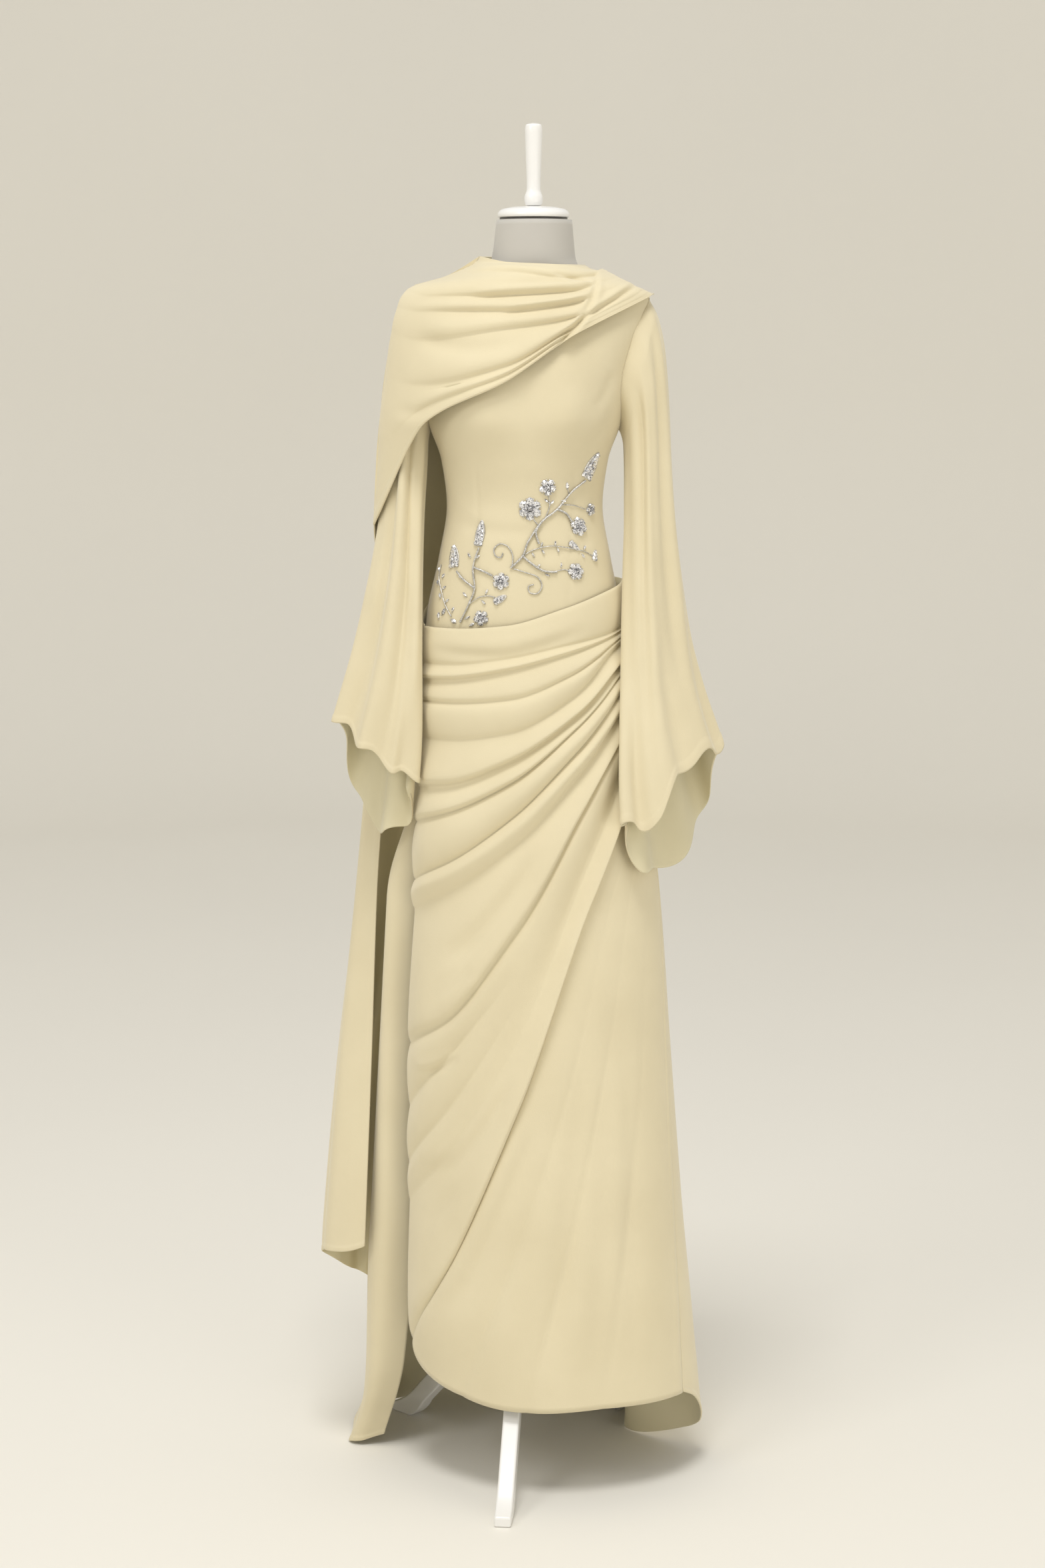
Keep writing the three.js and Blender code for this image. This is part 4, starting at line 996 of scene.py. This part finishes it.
def crystal_flower(number, x, z, radius, petals, turn):
    """Petal stones round a big stone, with beads between the petals."""
    work = Beadwork()
    place = bodice_place(x, z)
    angles = np.arange(petals * 6) * 360 / (petals * 6) + turn
    lobe = np.abs(sine(0.5 * petals * (angles - turn)))
    backing(work, place, *polar(radius * mix(0.55, 1, lobe), angles))
    for i in range(petals):
        angle = (i + 0.5) * 360 / petals + turn
        size = (0.7 * radius, radius * (0.66 + 0.08 * (i % 3)), 3.6 + 0.5 * (i % 2))
        work.stone(place, polar(0.63 * radius, angle), size, 90 - angle)
        for side in (-0.32, 0.32):
            work.bead(place, polar(0.86 * radius, angle + side * 360 / petals), 0.2 * radius)
        notch = i * 360 / petals + turn
        work.stone(place, polar(0.56 * radius, notch), (0.26 * radius, 0.34 * radius, 4.4), 90 - notch)
    for i in range(petals + 2):
        angle = i * 360 / (petals + 2) + turn
        work.stone(place, polar(0.31 * radius, angle), (0.22 * radius, 0.24 * radius, 5), 90 - angle, 0)
    work.stone(place, (0, 0), (0.44 * radius, 0.44 * radius, 6), turn, 0)
    work.finished(f"crystal_flower_{number}", f"flower_{number}")


def crystal_bud(number, x, z, length, width, lean):
    """Long bud of stones that grow smaller towards its tip."""
    work = Beadwork()
    place = bodice_place(x, z)
    t = np.arange(12) * 30
    wide = width * 0.5 * cosine(t) * (1 - 0.3 * sine(t))
    backing(work, place, *leaned(wide, length * 0.5 * sine(t), lean))
    rows = max(3, round(length / 6))
    for i in range(rows):
        share = (i + 0.5) / rows
        step = (share - 0.5) * length * 0.92
        spread = width * 0.27 * (1 - share) if i < rows - 1 else 0
        size = (width * mix(0.52, 0.4, share), length / rows * 1.25, 3.6)
        for side in ((-1, 1) if spread else (0,)):
            work.stone(place, leaned(side * spread, step, lean), size, lean + side * 24, 0.3)
    for side in (-1, 1):
        work.bead(place, leaned(side * width * 0.42, -0.36 * length, lean), 2.6)
    work.finished(f"crystal_bud_{number}", f"leaf_{number}")


# The vine's cords on the bodice, by places (x, z).
LOWER_VINE = [
    [(-84, 1215), (-72, 1240), (-64, 1262), (-66, 1290), (-58, 1316)],
    [(-64, 1262), (-78, 1272), (-88, 1283)],
    [(-66, 1290), (-50, 1284), (-40, 1279)],
]
UPPER_VINE = [
    [(-16, 1290), (0, 1306), (8, 1326), (26, 1352), (46, 1368), (66, 1392), (84, 1406)],
    [(26, 1352), (18, 1338), (22, 1322)],
    [(46, 1368), (58, 1362), (66, 1350)],
    [(0, 1306), (12, 1296), (28, 1286), (46, 1284)],
]
# Flowers: place, radius, petals, turn. Buds: place, length, width, lean from upright.
FLOWERS = [
    (10, 1369, 16, 6, 0),
    (34, 1398, 12, 5, 20),
    (76, 1344, 13, 6, 10),
    (92, 1366, 9, 5, 0),
    (72, 1284, 12, 6, 30),
    (-29, 1272, 12, 6, 0),
    (-56, 1222, 11, 5, 15),
]
BUDS = [
    (94, 1426, 40, 21, 28),
    (-93, 1303, 32, 19, -12),
    (-57, 1336, 36, 14, 5),
    (-30, 1248, 20, 10, 60),
    (70, 1318, 18, 9, 130),
    (98, 1304, 16, 9, 20),
]
# Fine stems, each with its radius: they join the flowers to the vine and curl at its foot.
SPRIGS = [
    (0.9, [(22, 1346), (17, 1352), (13, 1358)]),
    (0.9, [(30, 1356), (36, 1372), (35, 1388)]),
    (0.9, [(52, 1374), (68, 1373), (84, 1367)]),
    (0.9, [(-8, 1298), (10, 1312), (36, 1319), (62, 1316), (84, 1310), (96, 1302)]),
    (0.9, [(40, 1284), (54, 1287), (64, 1285)]),
    (0.9, [(-72, 1240), (-58, 1250), (-44, 1252), (-34, 1249)]),
    (1.1, [(-14, 1292), (-13, 1306), (-19, 1318), (-30, 1322), (-38, 1315), (-36, 1306), (-29, 1304),
           (-26, 1310)]),
    (1.1, [(-12, 1289), (4, 1284), (20, 1278), (26, 1266), (20, 1256), (10, 1257), (8, 1265),
           (15, 1268)]),
    (1.1, [(-110, 1290), (-113, 1272), (-109, 1252), (-104, 1236), (-96, 1222)]),
    (0.7, [(58, 1381), (62, 1388), (60, 1396)]),
]
# Single stones: place, width, length, turn from upright.
LEAF_STONES = [
    (40, 1378, 3.4, 7, 40), (32, 1380, 3.4, 7, -50), (60, 1400, 5, 9, -8), (56, 1379, 3.2, 6, 100),
    (14, 1308, 3, 6, -30), (26, 1322, 3, 6, 20), (28, 1311, 3, 6, 150), (44, 1323, 3, 6, 10),
    (48, 1313, 3, 6, 165), (84, 1316, 3, 6, 30), (82, 1304, 3, 6, 150), (22, 1293, 3, 6, 40),
    (34, 1280, 3, 6, 120), (52, 1294, 3, 6, 10), (-48, 1258, 3.2, 7, 20), (-52, 1243, 3.2, 7, 130),
    (-78, 1253, 3.4, 8, -50), (-60, 1304, 3.2, 7, 50), (-72, 1306, 3.2, 7, -40), (-84, 1276, 3, 6, -70),
    (-113, 1283, 3.4, 7, -20), (-107, 1276, 3.4, 7, 40), (-115, 1266, 3.4, 7, -30),
    (-106, 1260, 3.4, 7, 50), (-112, 1249, 3.4, 7, -30), (-102, 1243, 3.4, 7, 50),
    (-74, 1222, 3.4, 8, 60), (-94, 1232, 3.2, 7, 20),
]
DROPS = [
    (-107, 1228, 6, 10, 30), (-93, 1216, 6, 10, 110), (-114, 1222, 5, 9, -10), (-68, 1213, 4.5, 7, 60),
]


def beaded_vine(name, node, routes):
    work = Beadwork()
    for route in routes:
        work.cord(route, 1.9)
    work.finished(name, node, rounded=True)


def loose_sprigs():
    """The finest parts of the embroidery, which the solids leave out."""
    cords = Beadwork()
    for radius, route in SPRIGS:
        cords.cord(route, radius, pitch=3)
    cords.finished("fine_cords", rounded=True)
    stones = Beadwork()
    for x, z, width, length, turn in LEAF_STONES + DROPS:
        place = bodice_place(x, z)
        stones.stone(place, (0, 0), (width, length, 2.8), turn)
        stones.bead(place, leaned(0, -0.62 * length, turn), 1.8)
    stones.finished("leaf_stones")


beaded_vine("lower_cords", "vine_lower", LOWER_VINE)
beaded_vine("upper_cords", "vine_upper", UPPER_VINE)
for number, row in enumerate(FLOWERS, 1):
    crystal_flower(number, *row)
for number, row in enumerate(BUDS, 1):
    crystal_bud(number, *row)
loose_sprigs()


# Dress form and stand
def form_material():
    stops = [(0.3, (0.50, 0.48, 0.445, 1)), (0.7, (0.54, 0.52, 0.48, 1))]
    return toned("form_jersey", (9, 2), stops, (1300, 1, 0.2, 0.0004), Roughness=0.75, Sheen_Weight=0.15)


def darker(color, share):
    return (*(c * share for c in color[:3]), 1)


def gloss_material(name, color, roughness):
    stops = [(0.35, darker(color, 0.97)), (0.6, color)]
    return toned(name, (14, 3), stops, (60, 2, 0.05, 0.0005),
                 Roughness=roughness, Coat_Weight=0.4, Coat_Roughness=0.1)


WHITE_GLOSS = gloss_material("white_enamel", (0.88, 0.875, 0.86, 1), 0.28)
DARK_PLASTIC = gloss_material("dark_plastic", (0.05, 0.045, 0.04, 1), 0.5)
TURNED_SIDES = 96


def curve_points(start, control, end, count=10):
    t = np.linspace(0, 1, count + 1)[1:, None]
    start, control, end = (np.array(p, float) for p in (start, control, end))
    return ((1 - t) ** 2 * start + 2 * t * (1 - t) * control + t * t * end).tolist()


def softened(profile, radius):
    """Profile of (radius, z) points with its corners rounded."""
    points = [np.array(p, float) for p in profile]
    result = [points[0]]
    for before, corner, after in zip(points, points[1:], points[2:]):
        cuts = []
        for other in (before, after):
            way = other - corner
            length = np.linalg.norm(way)
            cuts.append(corner + way / length * min(radius, 0.45 * length))
        result += [cuts[0], *curve_points(cuts[0], corner, cuts[1], 4)]
    return result + [points[-1]]


def turned(name, node, material, centre_x, profile, radius=1.5):
    """Piece turned about an upright axis, from its profile of (radius, z)."""
    rows = np.array(softened(profile, radius))
    angles = np.arange(TURNED_SIDES) * 360 / TURNED_SIDES
    reach = np.maximum(rows[:, :1], 0.02)
    points = point(centre_x + reach * cosine(angles), reach * sine(angles), rows[:, 1:])
    rounded_stack(name, node, material, points)


def rounded_stack(name, node, material, points):
    """Closed smooth piece from rings of points that run upwards."""
    rows, sides = points.shape[:2]
    numbers = list(range(rows * sides))
    faces = stack_faces(rows, sides) + [numbers[:sides][::-1], numbers[-sides:]]
    smooth(piece(name, points.reshape(-1, 3), faces, [material], node))


def dress_form():
    levels = np.linspace(FORM_BASE_Z, NECK_TOP_Z, 140)[:, None]
    angles = np.arange(TURNED_SIDES)[None, :] * 360 / TURNED_SIDES
    drop = FORM_SHOULDER_DROP * ease((levels - 1600) / 50) * ease((1735 - levels) / 30)
    points = figure_point(levels, angles, 0)
    points[..., 2] -= drop
    rounded_stack("form_cover", "form_torso", form_material(), points)


def stand_leg(number, azimuth):
    """Bent board from the hub to a flat foot, with its edges rounded."""
    start = HUB_RADIUS + PART_GAP
    outline = [[start, 165]]
    outline += curve_points((start, 165), (72, 164), (106, 122)) + [[196, 28]]
    outline += curve_points((196, 28), (208, 8), (226, 0)) + [[LEG_REACH, 0], [LEG_REACH, 14]]
    outline += curve_points((LEG_REACH, 14), (236, 24), (218, 43)) + [[126, 142]]
    outline += curve_points((126, 142), (84, 200), (start, 212))
    turn = -90 - azimuth
    points = [(r * cosine(turn) - w * sine(turn), r * sine(turn) + w * cosine(turn), z)
              for w in (-LEG_WIDTH / 2, LEG_WIDTH / 2) for r, z in outline]
    count = len(outline)
    faces = [list(range(count)), list(range(count, 2 * count))[::-1]]
    faces += [[i, i + count, (i + 1) % count + count, (i + 1) % count] for i in range(count)]
    made = piece(f"leg_{number}", points, faces, [WHITE_GLOSS], f"stand_leg_{number}")
    smooth(made)
    bevel = made.modifiers.new("edges", "BEVEL")
    bevel.width, bevel.segments, bevel.angle_limit = 0.003, 3, math.radians(50)
    bevel.harden_normals = True


dress_form()
ring_low, ring_high = NECK_TOP_Z + 0.3, NECK_TOP_Z + 2.7
cap_z = NECK_TOP_Z + 3
finial_z = NECK_TOP_Z + 18.4
turned("gap_ring", "neck_gasket", DARK_PLASTIC, NECK_CENTRE_X,
       [(0, ring_low), (46, ring_low), (46, ring_high), (0, ring_high)], 0.5)
turned("cap", "neck_cap", WHITE_GLOSS, NECK_CENTRE_X,
       [(0, cap_z), (49, cap_z), (49, cap_z + 6), (44, cap_z + 11), (30, cap_z + 14), (0, cap_z + 15)], 3)
turned("top_finial", "finial", WHITE_GLOSS, NECK_CENTRE_X,
       [(0, finial_z), (10, finial_z), (12.5, finial_z + 5), (12.5, finial_z + 13), (9.5, finial_z + 20),
        (9.5, finial_z + 32), (10.6, finial_z + 60), (12, finial_z + 100), (11, finial_z + 108),
        (0, finial_z + 110)], 3)
turned("pole", "stand_pole", WHITE_GLOSS, 0,
       [(0, HUB_TOP_Z + PART_GAP), (POLE_RADIUS, HUB_TOP_Z + PART_GAP),
        (POLE_RADIUS, FORM_BASE_Z - PART_GAP), (0, FORM_BASE_Z - PART_GAP)], 1)
turned("hub", "stand_hub", WHITE_GLOSS, 0,
       [(0, HUB_BOTTOM_Z), (HUB_RADIUS - 4, HUB_BOTTOM_Z), (HUB_RADIUS, HUB_BOTTOM_Z + 5),
        (HUB_RADIUS, HUB_TOP_Z - 8), (HUB_RADIUS - 7, HUB_TOP_Z), (0, HUB_TOP_Z)], 3)
for number, azimuth in enumerate(LEG_AZIMUTHS, 1):
    stand_leg(number, azimuth)


# Stage, light and camera, in metres
STUDIO = SimpleNamespace(floor=5.5, bend=1.5, height=4.5, sides=72)
CAMERA = SimpleNamespace(distance=3.95, height=1.598, tilt=8.87, focal_pixels=4300, frame_pixels=2352)
SENSOR = 36


def stage_sheet():
    """Round floor that curves up into a plain pale backdrop on every side."""
    floor, bend, sides = STUDIO.floor, STUDIO.bend, STUDIO.sides
    profile = [(0.02, 0), (2, 0), (floor, 0)]
    profile += [(floor + bend * np.sin(a), bend - bend * np.cos(a)) for a in np.linspace(0.1, 1.5, 12)]
    profile += [(floor + bend, 2), (floor + bend, STUDIO.height)]
    turns = np.arange(sides) * 360 / sides
    points = [(r * cosine(turn), r * sine(turn), z) for r, z in profile for turn in turns]
    faces = [list(range(sides))] + stack_faces(len(profile), sides, flip=True)
    made = mesh_object("studio", points, faces)
    paint = (0.88, 0.855, 0.79, 1)
    stops = [(0.3, darker(paint, 0.985)), (0.7, paint)]
    made.data.materials.append(toned("studio_paint", (0.8, 2), stops, Roughness=0.9))
    smooth(made)


def area_light(name, place, aim, size, power, color):
    data = bpy.data.lights.new(name, "AREA")
    data.shape = "RECTANGLE"
    data.size, data.size_y = size
    data.energy = power
    data.color = color
    made = bpy.data.objects.new(name, data)
    made.location = place
    made.rotation_euler = (Vector(aim) - Vector(place)).to_track_quat("-Z", "Y").to_euler()
    bpy.context.scene.collection.objects.link(made)


stage_sheet()
area_light("key", (-2.4, -2.6, 3.2), (0, 0, 0.7), (1.2, 1.2), 24, (1, 0.985, 0.96))
area_light("fill", (2.8, -3.4, 0.9), (0, 0, 0.5), (2.4, 1.6), 24, (1, 0.98, 0.95))
area_light("top", (-0.3, -2.3, 6.6), (0, 0, 0.6), (1.6, 1.6), 165, (1, 0.99, 0.97))

world = bpy.data.worlds.new("soft_room")
world.use_nodes = True
world.node_tree.nodes["Background"].inputs["Color"].default_value = (1, 0.985, 0.955, 1)
world.node_tree.nodes["Background"].inputs["Strength"].default_value = 0.58
bpy.context.scene.world = world
bpy.context.scene.view_settings.view_transform = "Standard"

camera_data = bpy.data.cameras.new("camera")
camera_data.sensor_width = SENSOR
camera_data.lens = SENSOR * CAMERA.focal_pixels / CAMERA.frame_pixels
camera = bpy.data.objects.new("camera", camera_data)
camera.location = Vector(ORIGIN) + Vector((0, -CAMERA.distance, CAMERA.height))
camera.rotation_euler = (math.radians(90 - CAMERA.tilt), 0, 0)
bpy.context.scene.collection.objects.link(camera)
bpy.context.scene.camera = camera
